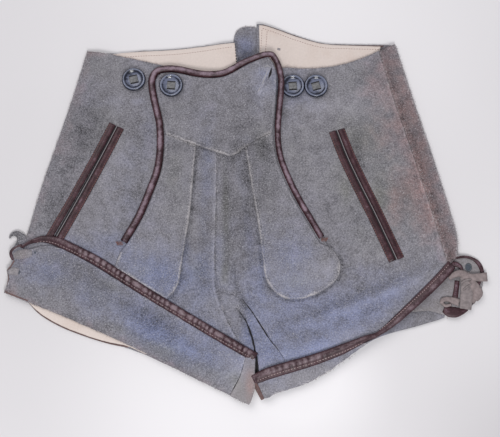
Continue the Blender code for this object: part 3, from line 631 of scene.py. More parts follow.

# %% [markdown]
# ## Facing and binding leathers
# The inside of the waist is faced with smooth cream leather that has yellowed in patches.  The
# edges are bound with thin dark brown leather that catches the light, and its ridges are rubbed
# to a pinkish grey, which on their crests is also painted highlight.  The facing's tones are noise,
# because nothing on them belongs to one place, and so are the binding's, except the rubbed and
# highlit crests, which are kept on each binding's mesh.

# %% Cream facing leather
CREAM = (0.643, 0.563, 0.518, 1)
CREAM_STAINED = (0.54, 0.43, 0.37, 1)

cream_finish = Finish("cream facing", Roughness=0.8, Specular_IOR_Level=0.25)
stain = cream_finish.speckle(30, 4, 0.6)
grain = cream_finish.speckle(1.6, 3, 0.6)
cream_colour = cream_finish.blend(CREAM, CREAM_STAINED, stain.between(0.45, 0.8) * 0.5)
cream_colour = cream_finish.blend(cream_colour, cream_finish.grey(0.88 + grain * 0.24), 1.0, "MULTIPLY")
cream = cream_finish.set(Base_Color=cream_colour, Normal=cream_finish.bump(grain, 0.25, 0.2))
print("finish:", cream.name)

# %% Brown binding leather


def make_binding(name, dark, light, rubbed):
    """Brown leather in two tones, with a third where its ridges are rubbed, which on their crests is also
    painted highlight.
    """
    leather = Finish(name, Specular_IOR_Level=0.36)
    pores = leather.speckle(1.1, 3, 0.7) - 0.5
    patch = leather.speckle(8, 3, 0.65)
    colour = leather.blend(dark, light, (patch + pores * 0.6).between(0.3, 0.7))
    # rubbed crests, which also carry painted highlight
    wear = leather.stored("worn") * 1.1 + (patch - 0.5) * 1.6 + pores * 0.8
    colour = leather.blend(colour, rubbed, wear.between(0.45, 1.25))
    return leather.set(
        Base_Color=colour, Roughness=0.30 + patch * 0.25,
        Normal=leather.bump(pores * 0.6 + patch * 0.6, 0.5, 0.4),
    )


# the third colour of each is the rubbed tone, which on the crests is also painted highlight
cuff_binding_leather = make_binding(
    "rubbed cuff binding", (0.030, 0.011, 0.015, 1), (0.068, 0.030, 0.038, 1), (0.205, 0.152, 0.170, 1)
)
binding = make_binding(
    "brown binding", (0.025, 0.008, 0.011, 1), (0.062, 0.023, 0.030, 1), (0.24, 0.175, 0.215, 1)
)
print("finishes:", cuff_binding_leather.name, "and", binding.name)

# %% [markdown]
# ## Threads, thongs and small parts
# The thread is orange-brown on the welts, pale on the cuffs and grey on the flap.  These parts are
# so small that one colour with a little unevenness is enough, so one helper makes them all.

# %% Threads, thongs, slits and eyelet


def plain(name, colour, roughness, vary=0.25, size=2.0, **constants):
    """One colour that varies by this share, in blotches of this many millimetres."""
    made = Finish(name, Roughness=roughness, **constants)
    tone = made.speckle(size, 2)
    shade = made.blend(colour, made.grey(1 - 0.5 * vary + tone * vary), 1.0, "MULTIPLY")
    return made.set(Base_Color=shade)


thread_orange = plain("orange-brown thread", (0.21, 0.095, 0.075, 1), 0.7)
thread_pale = plain("pale thread", (0.40, 0.30, 0.295, 1), 0.7, 0.8)
thread_dark = plain("brown thread", (0.235, 0.125, 0.10, 1), 0.7)
thread_suede = plain("grey thread", (0.33, 0.32, 0.33, 1), 0.8)
fuzz_hair = plain("loose suede fibre", (0.30, 0.25, 0.26, 1), 0.9)
lining_strip = plain("grey slit lining", (0.25, 0.23, 0.24, 1), 0.5)
cut_edge = plain("brown cut edge", (0.135, 0.080, 0.074, 1), 0.8, 0.8)
# dark finish for painted shadow in slits, gaps, slots and the buttonhole
painted_slit_shadow = plain("slit shadow", (0.012, 0.010, 0.012, 1), 0.9)
thong_leather = plain("raw thong", (0.233, 0.192, 0.190, 1), 0.9, 1.1, 3.0, Specular_IOR_Level=0.2)
thong_grey = plain("soiled thong", (0.222, 0.192, 0.192, 1), 0.9, 1.1, 3.0, Specular_IOR_Level=0.2)
eyelet_metal = plain("blue-grey eyelet", (0.075, 0.088, 0.105, 1), 0.6, 0.8, Metallic=0.2)
# painted shadow inside holes and notches
painted_hole_shadow = plain("eyelet hole", (0.06, 0.07, 0.09, 1), 0.8)
print("finishes so far:", len(bpy.data.materials))

# %% [markdown]
# ## Horn and table
# Polished horn is nearly black with bluish streaks; the highlight on its rim and the dark of its
# outer wall are painted into its colour.  The pale table has pools of painted light in its own colour,
# one of them over the cast shadow below the right leg, and painted shade towards the left edge and
# the bottom right corner, with no more lamps, so nothing else changes.

# %% Horn
HORN_DARK = (0.007, 0.009, 0.020, 1)
HORN_LIGHT = (0.125, 0.140, 0.205, 1)
HORN_RIM_HIGHLIGHT = (0.17, 0.19, 0.25, 1)

horn_finish = Finish(
    "dark horn", Roughness=0.22, Coat_Weight=0.3, Coat_Roughness=0.08, Specular_IOR_Level=0.4
)
marbling = horn_finish.speckle(5, 4, 0.7, (1, 2.2, 1))
# stored per ring: painted highlight on the rim's crest and in the dish, painted shade on its walls
rim_light_and_shade = horn_finish.stored("worn")
streaks = marbling + horn_finish.speckle(15, 1, 0.5) * 0.9 + rim_light_and_shade * 0.5
horn_colour = horn_finish.blend(HORN_DARK, HORN_LIGHT, streaks.between(0.80, 1.14))
horn_colour = horn_finish.blend(horn_colour, HORN_RIM_HIGHLIGHT, rim_light_and_shade.between(0.0, 0.6) * 0.6)
horn = horn_finish.set(Base_Color=horn_colour)
print("finish:", horn.name)

# %% Pale table
TABLE_DARK = (0.50, 0.485, 0.495, 1)
TABLE_LIGHT = (0.80, 0.785, 0.795, 1)
PAINTED_LIGHT_AND_SHADE = (
    # x, y and reach in metres, and how much painted light, or painted shade below 0
    (-0.03, -0.175, 0.17, 0.38),
    # painted light over the cast shadow below the right leg
    (0.065, -0.15, 0.08, 0.35),
    (0.06, 0.27, 0.34, 0.42),
    (-0.28, -0.05, 0.30, -0.12),
    (0.25, -0.24, 0.17, -0.5),
)

floor_finish = Finish("pale table", Roughness=0.7, Specular_IOR_Level=0.2)
floor_tone = floor_finish.speckle(160, 2)


def painted_pool(x, y, reach):
    """1 at a place on the table, softly down to 0 at this distance from it: one pool of painted light, or of
    painted shade where its amount is below 0.
    """
    away = floor_finish.node(
        "ShaderNodeVectorMath", {"operation": "DISTANCE"},
        {0: floor_finish.here(), 1: (x, y, 0.0)}, output=1,
    )
    return (reach - away).between(0.0, reach)


# the table's own tone, with the pools of painted light and painted shade added
tone = 0.55 + floor_tone * 0.1
for x, y, reach, amount in PAINTED_LIGHT_AND_SHADE:
    tone = tone + painted_pool(x, y, reach) * amount
floor_mesh.materials.append(floor_finish.set(
    Base_Color=floor_finish.blend(TABLE_DARK, TABLE_LIGHT, tone)
))
print("finish:", floor_finish.material.name, "with", len(PAINTED_LIGHT_AND_SHADE), "glows")

# %% [markdown]
# ## Cloth shells
# A panel is cut along its outline and given the thickness of its leather.  The outline comes from
# the solid's own top face.  The inside is filled with an even net of points, so that creases can
# bend it, and one ring just inside the edge turns the cut edge down softly.  Each point then keeps
# how worn and how stained it is.

# %% Outline of a solid's top face
FACES_UP = 0.05             # a face whose normal rises at least this much belongs to the top
SHARP_CORNER = math.radians(34)


def border(rings):
    """The edges that only one face has, as pairs of points in the face's own direction."""
    once = {}
    for ring in rings:
        for a, b in zip(ring, ring[1:] + ring[:1]):
            if (b, a) in once:
                del once[b, a]
            else:
                once[a, b] = True
    return list(once)


def outline(node, spacing=1.3, rounds=5):
    """The longest loop round a node's upward faces, in table mm, evenly spaced and softened."""
    mesh = frame["nodes"][node].data
    number = {}
    spots = []
    rings = []
    for face in mesh.polygons:
        if face.normal.z < FACES_UP:
            continue
        ring = []
        for index in face.vertices:
            spot = mesh.vertices[index].co
            key = tuple(round(c * 1e6) for c in spot)
            if key not in number:
                number[key] = len(spots)
                spots.append((spot.x / MM + CENTRE[0], spot.y / MM + CENTRE[1]))
            ring.append(number[key])
        rings.append(ring)
    following = dict(border(rings))
    best = []
    while following:
        start, here = next(iter(following.items()))
        loop = [start]
        del following[start]
        while here != start and here in following:
            loop.append(here)
            here = following.pop(here)
        if len(loop) > len(best):
            best = loop
    return softened(np.array([spots[i] for i in best]), spacing, rounds)


def softened(loop, spacing, rounds):
    """A closed loop with even points; its corners stay, and what lies between them is smoothed."""
    before = loop - np.roll(loop, 1, 0)
    after = np.roll(loop, -1, 0) - loop
    bend = np.arctan2(after[:, 1], after[:, 0]) - np.arctan2(before[:, 1], before[:, 0])
    turn = np.abs(np.angle(np.exp(1j * bend)))
    points, fixed = [], []
    for i, (a, b) in enumerate(zip(loop, np.roll(loop, -1, 0))):
        count = max(1, round(float(np.linalg.norm(b - a)) / spacing))
        for k in range(count):
            points.append(a + (b - a) * k / count)
            fixed.append(k == 0 and turn[i] > SHARP_CORNER)
    points, fixed = np.array(points), np.array(fixed)
    for _ in range(rounds):
        even = 0.25 * np.roll(points, 1, 0) + 0.5 * points + 0.25 * np.roll(points, -1, 0)
        points = np.where(fixed[:, None], points, even)
    return points


# %% Inside test and the net of points
ROW_HEIGHT = 0.866          # of a row of even triangles, for sides of 1


def within(xy, loop):
    """Which points lie inside a closed loop."""
    x, y = xy[:, 0][:, None], xy[:, 1][:, None]
    x0, y0 = loop[:, 0], loop[:, 1]
    x1, y1 = np.roll(x0, -1), np.roll(y0, -1)
    inside = np.zeros(len(xy), bool)
    for start in range(0, len(xy), CHUNK):
        part = slice(start, start + CHUNK)
        cross = ((y0 > y[part]) != (y1 > y[part])) & (
            x[part] < (x1 - x0) * (y[part] - y0) / np.where(y1 == y0, TINY, y1 - y0) + x0
        )
        inside[part] = cross.sum(1) % 2 == 1
    return inside


def normals(loop):
    """The outward direction at every point of a closed loop."""
    tangent = np.roll(loop, -1, 0) - np.roll(loop, 1, 0)
    tangent /= np.maximum(np.linalg.norm(tangent, axis=1, keepdims=True), TINY)
    x, y = loop.T
    turning = np.sign((x * np.roll(y, -1) - np.roll(x, -1) * y).sum())
    return turning * np.stack([tangent[:, 1], -tangent[:, 0]], 1)


def net(loop, spacing, insets):
    """Points and triangles that fill a loop, with rings at these distances inside it."""
    closed = Path(np.vstack([loop, loop[:1]]), smooth=False)
    low, high = loop.min(0), loop.max(0)
    rows = np.arange(low[1], high[1], spacing * ROW_HEIGHT)
    columns = np.arange(low[0], high[0], spacing)
    grid = np.array([(x + (k % 2) * spacing / 2, y) for k, y in enumerate(rows) for x in columns])
    grid = grid[within(grid, loop)]
    grid = grid[closed.distance(grid) > insets[-1] + 0.6 * spacing]
    points = [loop, grid]
    outward = normals(loop)
    for number, inset in enumerate(insets):
        ring = (loop - inset * outward)[::1 + number // 2]
        ring = ring[within(ring, loop)]
        points.append(ring[closed.distance(ring) > 0.93 * inset])
    made, _, faces, *_ = geometry.delaunay_2d_cdt(
        [Vector(p) for p in np.vstack(points)], [], [list(range(len(loop)))], 1, 1e-4
    )
    return np.array([tuple(p) for p in made]), [list(face) for face in faces], closed


# %% [markdown]
# ## Patina and painted shade
# Old suede fades unevenly: it stays blue where it was covered, turns olive where hands soiled it
# and pink where the dye failed.  A fourth, dark mask is partly soil and partly painted shade in folds
# and beside raised seams, and its marks below 0 are partly rubbed wear and partly painted highlight.
# Painting a texture by hand would fix it to one size, so each soft mark is a place, a reach, a tint
# and an amount instead, and they are added up at every point.

# %% Marks where the blue dye is kept
BLUE = (
    # x, y, reach across, reach up, rise per mm across, amount
    (-105, -92, 110, 24, -0.46, 0.34),
    (-66, -115, 42, 13, -0.46, 0.60),
    (-30, -104, 30, 14, -0.5, 0.32),
    (-150, -32, 20, 9, -0.4, 0.30),
    (50, -70, 28, 22, 0, 0.32),
    (-75, 118, 20, 14, 0, 0.20),
    (-190, -50, 24, 18, 0, 0.25),
    (-78, -54, 48, 24, -0.3, 0.72),
    (-122, -23, 18, 10, 0, 0.20),
    (-104, 24, 16, 40, 0, 0.20),
    (-118, 103, 30, 6, 0, 0.14),
    (-22, -44, 22, 46, 0, 0.30),
    (-36, 56, 8, 26, 0, 0.28),
    (8, 112, 9, 18, 0, 0.18),
    (38, 118, 26, 18, 0, 0.36),
    (-2, 154, 12, 14, 0, 0.45),
    (34, -40, 20, 24, 0, 0.34),
    (84, -96, 72, 26, 0.35, 0.60),
    (52, -124, 26, 10, 0.2, 0.42),
    (134, -68, 30, 12, 0.40, 0.22),
    (22, -104, 18, 30, 0, 0.36),
    (8, -72, 12, 22, 0, 0.22),
    (3, -100, 6, 26, 0, 0.36),
    (-55, -33, 4, 12, 0, 0.35),
    (14, -46, 4, 28, 0, 0.30),
    (16, 128, 7, 9, 0, 0.25),
    (-171, -58, 12, 8, 0, 0.16),
    (-1, 156, 8, 16, 0, 0.18),
    (-87, 86, 8, 16, 0, 0.18),
    (-91, 41, 6, 14, 0, 0.16),
    (3, 68, 8, 7, 0, 0.18),
    (57, -32, 10, 9, 0, 0.20),
    (111, -51, 17, 8, 0, 0.15),
    (-51, -28, 5, 10, 0, 0.16),
)
print(len(BLUE), "blue marks")

# %% Marks where hands soiled it olive
OLIVE = (
    (-130, 82, 24, 26, 0, 0.46),
    (-140, 132, 30, 14, 0, 0.30),
    (-52, 104, 22, 20, 0, 0.25),
    (-66, 30, 13, 44, 0, 0.42),
    (-14, -10, 10, 50, 0, 0.12),
    (12, 64, 10, 20, 0, 0.35),
    (16, 36, 12, 30, 0, 0.20),
    (50, 58, 22, 30, 0, 0.25),
    (104, 74, 26, 22, 0, 0.48),
    (116, 20, 24, 46, 0, 0.54),
    (80, 46, 10, 24, 0, 0.26),
    (146, 0, 14, 34, 0, 0.25),
    (96, -16, 14, 18, 0, 0.25),
    (-168, -62, 18, 8, 0, 0.25),
    (-130, -66, 12, 9, 0, 0.34),
    (-84, -114, 60, 5, -0.46, 0.20),
    (-22, -138, 12, 12, 0, 0.25),
    (50, -146, 40, 8, 0.35, 0.15),
    (-8, -150, 6, 12, 0, 0.45),
    (-196, -72, 22, 7, -0.4, 0.30),
    (-131, -78, 14, 8, -0.3, 0.30),
    (-80, -120, 44, 6, -0.46, 0.32),
    (-44, -52, 6, 10, 0, 0.45),
    (40, -60, 14, 8, 0, 0.20),
    (120, 16, 8, 15, 0, 0.35),
    (90, 24, 6, 14, 0, 0.26),
    (96, 120, 12, 16, 0, 0.24),
    (-118, -66, 18, 5, -0.55, 0.22),
    (146, 22, 8, 14, 0, 0.18),
    (-20, -140, 14, 8, -0.4, 0.18),
    (-206, -24, 9, 14, 0, 0.40),
    (-145, 140, 13, 10, 0, 0.25),
    (-33, 108, 11, 8, 0, 0.20),
    (110, 136, 14, 10, 0, 0.25),
    (-123, -19, 8, 10, 0, 0.20),
    (-64, 40, 8, 16, 0, 0.20),
    (89, 22, 7, 14, 0, 0.20),
    (17, 32, 10, 14, 0, 0.18),
    (-91, -52, 10, 6, 0, 0.22),
    (44, -64, 12, 6, 0, 0.25),
    (-72, -112, 18, 5, -0.5, 0.18),
)
print(len(OLIVE), "olive marks")

# %% Marks where the dye turned pink
PINK = (
    (-160, 50, 16, 62, -0.2, 0.14),
    (116, 122, 14, 22, 0, 0.40),
    (132, 80, 16, 36, 0, 0.40),
    (112, 74, 20, 20, 0, 0.16),
    (134, 10, 11, 26, 0, 0.50),
    (154, 24, 10, 34, 0, 0.52),
    (158, 62, 9, 40, 0, 0.12),
    (168, -10, 9, 18, 0, 0.30),
    (4, -152, 6, 18, 0, 0.80),
    (-205, -70, 16, 8, 0, 0.10),
    (-139, 152, 14, 6, 0, 0.35),
    (142, 26, 8, 14, 0, 0.22),
    (159, -12, 7, 20, 0, 0.34),
)
print(len(PINK), "pink marks")

# %% Dark marks, partly soil and partly painted shade, and light ones below 0, partly rubbed wear and partly painted highlight
DARK_SOIL_AND_SHADE = (
    (-52, 100, 20, 16, 0, 0.10),
    (-10, 76, 13, 36, 0, 0.26),
    (19, 58, 8, 11, 0, 0.34),
    (3, 8, 6, 48, -0.05, 0.28),
    (-36, -4, 7, 60, 0, 0.12),
    (-66, 44, 8, 24, 0, 0.12),
    (100, 60, 7, 16, 0, 0.34),
    (98, -6, 9, 14, 0, 0.20),
    (146, 84, 9, 28, 0, 0.16),
    (98, -60, 8, 9, 0, 0.24),
    # painted shade and painted highlight on either side of the right leg's old fold
    (104, -71, 62, 5, 0.41, 0.30),
    (112, -78, 64, 4, 0.41, -0.30),
    (42, -108, 18, 7, 0, 0.28),
    (160, -84, 20, 5, 0.3, 0.34),
    (-152, -46, 22, 8, -0.5, 0.26),
    (-84, -94, 30, 9, -0.5, 0.44),
    (-124, -64, 14, 9, 0, 0.16),
    (-84, -116, 60, 5, -0.46, 0.12),
    (-118, 58, 8, 20, 0, -0.24),
    (66, 100, 30, 6, 0, -0.24),
    (-116, 104, 26, 4, 0, -0.16),
    (94, 134, 12, 8, 0, -0.10),
    (-12, -142, 12, 14, 0, -0.34),
    (54, -124, 22, 8, 0.3, -0.36),
    (88, -110, 24, 7, 0.45, -0.28),
    (72, -52, 7, 8, 0, -0.26),
    (30, -84, 16, 8, 0, -0.10),
    (50, -146, 44, 8, 0.35, -0.34),
    (-94, -32, 24, 8, 0, -0.14),
    (-140, 80, 14, 24, 0, 0.28),
    (-98, 78, 15, 20, 0, 0.26),
    (-176, 8, 10, 14, 0, 0.25),
    (-3, -10, 8, 32, 0, 0.20),
    (14, 60, 11, 36, 0, 0.18),
    (103, 44, 6, 16, 0, 0.22),
    (-148, -56, 22, 9, -0.4, 0.18),
    (-60, -138, 14, 6, -0.4, 0.32),
    (-140, -101, 40, 5, -0.42, 0.16),
    (160, -90, 26, 8, 0.2, -0.08),
    (-36, -52, 8, 22, 0, 0.18),
    (46, -56, 26, 16, 0, -0.20),
    (50, -76, 22, 7, 0, -0.18),
    (20, 112, 9, 12, 0, -0.20),
    (46, 130, 16, 9, 0, -0.20),
    (-28, 66, 30, 6, 0, 0.14),
    (14, 104, 18, 20, 0, 0.08),
    (150, 24, 12, 34, 0, 0.10),
    (30, -110, 20, 10, 0, -0.14),
    (8, -134, 10, 12, 0, -0.20),
    (-46, -110, 12, 5, -0.5, -0.14),
    (-14, 4, 8, 44, 0, 0.26),
    (-148, 60, 12, 24, 0, 0.13),
    (18, 20, 12, 34, 0, 0.10),
    (90, 105, 24, 14, 0, -0.16),
    (-165, -60, 28, 10, -0.4, 0.14),
    (-37, 8, 6, 46, 0, 0.10),
    (-16, 38, 6, 9, 0, 0.15),
    (-1, -40, 6, 12, 0, 0.17),
    (-107, 10, 9, 14, 0, 0.15),
    (75, -1, 8, 9, 0, 0.16),
    (89, 22, 6, 9, 0, 0.12),
    (106, 130, 10, 8, 0, 0.12),
    (146, 60, 7, 14, 0, 0.12),
    (166, 13, 6, 16, 0, 0.12),
    (111, -81, 18, 6, 0.2, 0.12),
    (14, 116, 8, 12, 0, -0.22),
    (-147, 92, 8, 14, 0, -0.15),
    (66, 92, 9, 9, 0, -0.12),
    (98, 95, 9, 8, 0, -0.12),
    (66, -67, 12, 6, 0, -0.12),
    (-1, 156, 8, 16, 0, 0.22),
    (196, -42, 6, 5, 0, 0.32),
    (-206, -24, 9, 14, 0, 0.34),
    (-201, -37, 9, 5, 0, 0.22),
    (22, 18, 14, 36, 0, 0.10),
    (-100, 26, 11, 30, 0, 0.09),
)
print(len(DARK_SOIL_AND_SHADE), "dark marks")

# %% Painted shadows beside raised seams and folds, and soiled and rubbed lines beside the seams
LOBE_LEFT = ((-45.5, 62), (-46.5, 52), (-50.5, 0), (-54, -22), (-59.5, -60), (-63, -69), (-70, -76))
LOBE_RIGHT = (
    (-1, 60.8), (0.5, 51), (4.5, 27), (11.5, -15), (16.5, -55), (21, -65), (27, -72), (33, -76), (43, -77.2),
    (53, -75.5), (66, -70.5), (78, -62), (82.5, -56), (84.5, -48), (82.5, -40), (77.5, -33), (72, -28.5),
)
YOKE_SEAM = (
    (-56, 67.2), (-44.5, 63), (-27, 57), (-20, 54.8), (-14, 52.8), (-10, 54), (-2.5, 60.5), (10.5, 69),
)
CENTRE_SEAM = ((-26.5, 56), (-27, 20), (-28, -30), (-28.5, -56), (-26, -74), (-19, -92), (-10, -109))
SEAM_SHADE_SOIL_AND_WEAR = (
    # line, how far to its left, width, tint, amount
    # painted shadow beside the raised edges of the lobes
    (LOBE_LEFT, 1.4, 1.2, "dark", 0.42),
    (LOBE_LEFT, 4.0, 4.5, "dark", 0.14),
    (LOBE_RIGHT, -1.4, 1.2, "dark", 0.50),
    (LOBE_RIGHT, -4.5, 5.0, "dark", 0.16),
    # painted shadow beside the yoke's raised edge
    (YOKE_SEAM, -1.6, 1.1, "dark", 0.45),
    (YOKE_SEAM, -5.0, 4.0, "dark", 0.12),
    # painted shadow beside the centre seam's raised edge, then its rubbed pale edge
    (CENTRE_SEAM, 0.7, 0.9, "dark", 0.30),
    (CENTRE_SEAM, -1.0, 1.0, "dark", -0.45),
    (((-35, 56), (-36.5, 20), (-39, -20), (-41, -50)), 0.0, 7.0, "blue", 0.16),
    (((-20, 48), (-19, 20), (-18, -20), (-19, -60)), 0.0, 4.0, "olive", 0.38),
    (((-20, 48), (-19, 20), (-18, -20), (-19, -52)), 0.0, 3.0, "dark", 0.18),
    (((-6, 50), (-3, 24), (2, -16), (6, -50)), 0.0, 5.0, "blue", 0.14),
    # painted shade in the folds beside the crotch
    (((-12, -48), (-7, -68), (-2.5, -79), (3, -88)), 0.0, 3.2, "dark", 0.40),
    (((-6, -86), (-1, -96), (4, -106)), -1.5, 3.0, "dark", 0.25),
    (((20.7, 133.5), (18, 127.3), (14.3, 118), (11.5, 109.5)), 0.0, 1.0, "dark", -0.85),
    (((20.7, 133.5), (18, 127.3), (14.3, 118), (11.5, 109.5)), 2.4, 1.2, "dark", 0.28),
    (((16, 134.5), (21, 131), (22.3, 128)), 0.0, 0.9, "dark", -0.50),
    (((12, 131), (5, 121)), 0.0, 1.0, "dark", -0.35),
    (((2, 128), (8, 118)), 0.0, 1.0, "dark", -0.25),
    (((-144, 104), (-158, 52), (-176, -8)), 0.0, 13.0, "dark", 0.22),
    (FOLD_RIGHT, -1.0, 3.0, "dark", -0.12),
    (FOLD_RIGHT, -5.0, 7.0, "pink", 0.30),
    # painted shadow beside the right seam's raised edge, then its pale edge, partly rubbed wear and partly
    # painted highlight
    (SEAM_RIGHT, 3.2, 3.6, "dark", 0.34),
    (SEAM_RIGHT, -1.2, 1.3, "dark", -0.35),
    (((-1.1, -131.5), (-4.4, -147.3), (-6.9, -154), (-12.5, -161.8)), -1.0, 1.3, "dark", -0.50),
    (SIDE_LEFT, 3.0, 6.0, "pink", 0.22),
    (CUFF_FOLD_LEFT, 0.0, 5.0, "pink", 0.30),
    (((123, 148), (150, 60), (166, 6), (180, -44)), 0.0, 7.0, "pink", 0.30),
)
# these lines hold painted shadow beside raised seams as well as soil and wear
print(len(SEAM_SHADE_SOIL_AND_WEAR), "soiled or rubbed lines")

# %% The four masks at any point
MASK_MARKS = {"blue": BLUE, "olive": OLIVE, "pink": PINK, "dark": DARK_SOIL_AND_SHADE}
TINTS = tuple(MASK_MARKS)


def stains_and_shade(xy):
    """Blue, olive and pink from 0 to 1, and dark from 0 to 1 where 0.5 is neither dark nor light; dark is
    partly soil and painted shade, and below 0.5 partly wear and painted highlight.
    """
    masks = np.zeros((len(xy), 4))
    masks[:, 3] = 0.5
    uneven = 1 + 0.7 * wavy(xy, 12, 7.0)
    for marks, left, width, tint, amount in SEAM_SHADE_SOIL_AND_WEAR:
        line = Path(marks).moved(left, 40)
        here = line.near(xy, 2.5 * width)
        if len(here):
            fade = np.exp(-(line.distance(xy[here]) / width) ** 2)
            masks[here, TINTS.index(tint)] += amount * uneven[here] * fade
    for number, tint in enumerate(TINTS):
        for x, y, across, up, rise, amount in MASK_MARKS[tint]:
            away = xy - (x, y)
            spread = np.exp(-(away[:, 0] / across) ** 2 - ((away[:, 1] - rise * away[:, 0]) / up) ** 2)
            masks[:, number] += amount * spread
    return np.clip(masks, 0, 1)


# %% [markdown]
# ## From points to pieces
# Every piece is made the same way: points and faces become a mesh, the masks are kept on it, it
# rides on the one body of the garment, and the solids it stands for are hidden.

# %% Build pieces and hide the solids they stand for


def build(name, points, faces, finish, masks=None, worn=None, angle=50):
    """A piece from table millimetres, smooth except over sharp edges."""
    mesh = bpy.data.meshes.new(name)
    mesh.from_pydata([tuple(p) for p in placed(points)], [], faces)
    mesh.update()
    mesh.materials.append(finish)
    mesh.shade_smooth()
    mesh.set_sharp_from_angle(angle=math.radians(angle))
    if masks is not None:
        layer = mesh.color_attributes.new("patina", "FLOAT_COLOR", "POINT")
        layer.data.foreach_set("color", masks.ravel())
    # per point: wear, and on buttons and binding crests painted highlight and painted shade
    if worn is not None:
        layer = mesh.attributes.new("worn", "FLOAT", "POINT")
        layer.data.foreach_set("value", np.asarray(worn, float))
    piece = bpy.data.objects.new(name, mesh)
    bpy.context.scene.collection.objects.link(piece)
    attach(piece, "root")
    return piece


def stands_for(piece, slot, *nodes):
    """Hide the solids that it is shown instead of.  Its material slot is not used."""
    if nodes:
        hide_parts(*nodes)
    return piece


# %% A cut panel
PLAIN_RINGS = (2.0,)        # rings of points this far in from a plain edge
STITCHED_RINGS = (2.0, 2.7, 3.3, 3.9, 4.8)


def cut_size(loop):
    """The smallest rectangle a loop is cut from, and its own area."""
    best = None
    for angle in np.radians(np.arange(0, 90, 3)):
        cos, sin = math.cos(angle), math.sin(angle)
        turned = loop @ np.array([[cos, -sin], [sin, cos]])
        size = turned.max(0) - turned.min(0)
        if best is None or size.prod() < best.prod():
            best = size
    x, y = loop.T
    area = 0.5 * abs(float((x * np.roll(y, -1) - np.roll(x, -1) * y).sum()))
    return [float(side) for side in best], area


def cloth(name, loop, floor, finish, slot, *nodes, thickness=SUEDE, roof=None, spacing=2.0,
          edge=0.8, grow=0.13, stitched=0.0, fray=0.25, wear=0.5, worn_width=2.2, shielded=None):
    """A cut panel: floor gives its underside and roof, where it isn't floor plus thickness, its top.

    grow moves its cut edge out and fray makes it uneven.  edge is how far in the edge starts to
    turn down, and stitched how far in a row of stitches pulls it down.  wear is how pale the edge
    is rubbed, worn_width how far that reaches, and shielded tells where it was kept from wear.
    """
    rough = wavy(loop, 5.0, 1.5) + 0.8 * wavy(loop, 1.9, 2.5)
    rings = (edge,) + (STITCHED_RINGS if stitched else PLAIN_RINGS)
    points, faces, closed = net(loop + (grow + fray * rough)[:, None] * normals(loop), spacing, rings)
    gap = closed.distance(points)
    low = floor(points)
    top = roof(points) if roof else low + thickness
    ease = np.clip(1 - gap / edge, 0, 1)
    top = top - edge * (1 - np.sqrt(1 - ease**2))
    if stitched:
        top = top + 0.35 * np.exp(-((gap - 1.6) / 1.0) ** 2) - 0.6 * np.exp(-((gap - stitched) / 0.7) ** 2)
    low = np.minimum(low, top - 0.4)
    count = len(points)
    solid = faces + [[i + count for i in reversed(face)] for face in faces]
    solid += [[b, a, a + count, b + count] for a, b in border(faces)]
    both = np.vstack([np.column_stack([points, top]), np.column_stack([points, low])])
    masks = stains_and_shade(points)
    worn = wear * np.exp(-(gap / worn_width) ** 2) * (0.8 + 0.7 * wavy(points, 9, 4.0))
    if shielded:
        worn = worn * shielded(points)
    piece = build(name, both, solid, finish, np.vstack([masks, masks]), np.concatenate([worn, worn]))
    stands_for(piece, slot, *nodes)
    size, area = cut_size(loop)
    piece["cut"] = [size[0] * MM, size[1] * MM, area * MM * MM]
    print(f"{name}: {len(solid)} faces, cut {size[0]:.0f} x {size[1]:.0f} mm, {area / 100:.0f} cm2")
    return piece


# %% [markdown]
# ## Left back and tongue
# The left back is one flat panel that lies on the table.  Behind the slit in the centre back sits
# a rounded tongue, and the back rises over it.  Both are plain cut panels, so their outlines and
# the helper above are all that they need.

# %% Left back and tongue
back_left = cloth(
    "suede_back_left", outline("back_left"), back_floor, suede, "suede", "back_left", spacing=2.6
)
tongue = cloth("suede_tongue", outline("back_tongue"), on_floor, suede, "suede", "back_tongue")

# %% [markdown]
# ## Right back
# The right back is a single piece that folds round the side and comes forward to the front.  It
# is made as one sheet: a grid of points for what lies flat, then a ring of points for each row
# that goes round the fold and over to the seam.  A Solidify modifier gives it its thickness.

# %% Lines of the right back
BACK_ROWS, BACK_COLUMNS = 120, 60
FOLD_POINTS, STRIP_POINTS = 9, 9
FOLD_TURN = 75              # degrees either side of level that the fold's ring covers
BEFORE_FOLD = 0.97          # the top and the hem are followed to this share, then run to the fold
STRIP_HEIGHT = 3            # what is higher than this belongs to the strip in front
STRIP_TINTS = (-0.1, 0.1, 0.18, 0.14)
RIGHT_BACK_CUT = (0.23, 0.345, 0.0625)      # flat width and length in m and area in m2, with the strip
BACK_TOP_RIGHT = ((9.5, 179.5), (15, 179.5), (32, 174), (67, 162.5), (92, 160.5), (136, 160))
BACK_HEM_RIGHT = ((14, -160), (43, -150), (74, -135), (115, -111), (152, -100), (176, -93))
CENTRE_BACK_RIGHT = (
    (9.5, 179.5), (9, 148), (1, 112), (-0.4, 80), (-0.4, 0), (-0.4, -60), (-0.8, -92),
    (4.5, -105), (10.5, -132), (12, -148), (14, -160),
)
print("centre back:", round(Path(CENTRE_BACK_RIGHT).length), "mm long")

# %% Right back, folded round the side


def coons(top, bottom, left, right, across, down):
    """A grid of points that fills four boundary lines, as rows."""
    u, v = np.meshgrid(across, down)
    u, v = u[..., None], v[..., None]
    ends = top.at(across)[None] * (1 - v) + bottom.at(across)[None] * v
    sides = left.at(down)[:, None] * (1 - u) + right.at(down)[:, None] * u
    high = top.at(0) * (1 - u) + top.at(1) * u
    low = bottom.at(0) * (1 - u) + bottom.at(1) * u
    return ends + sides - (high * (1 - v) + low * v)


def up_to(marks, end):
    """A line through the marks that leaves them near its end to run to this point."""
    followed = Path(marks).at(np.linspace(0, BEFORE_FOLD, 30))
    return Path(np.vstack([followed, end[None]]), smooth=False)


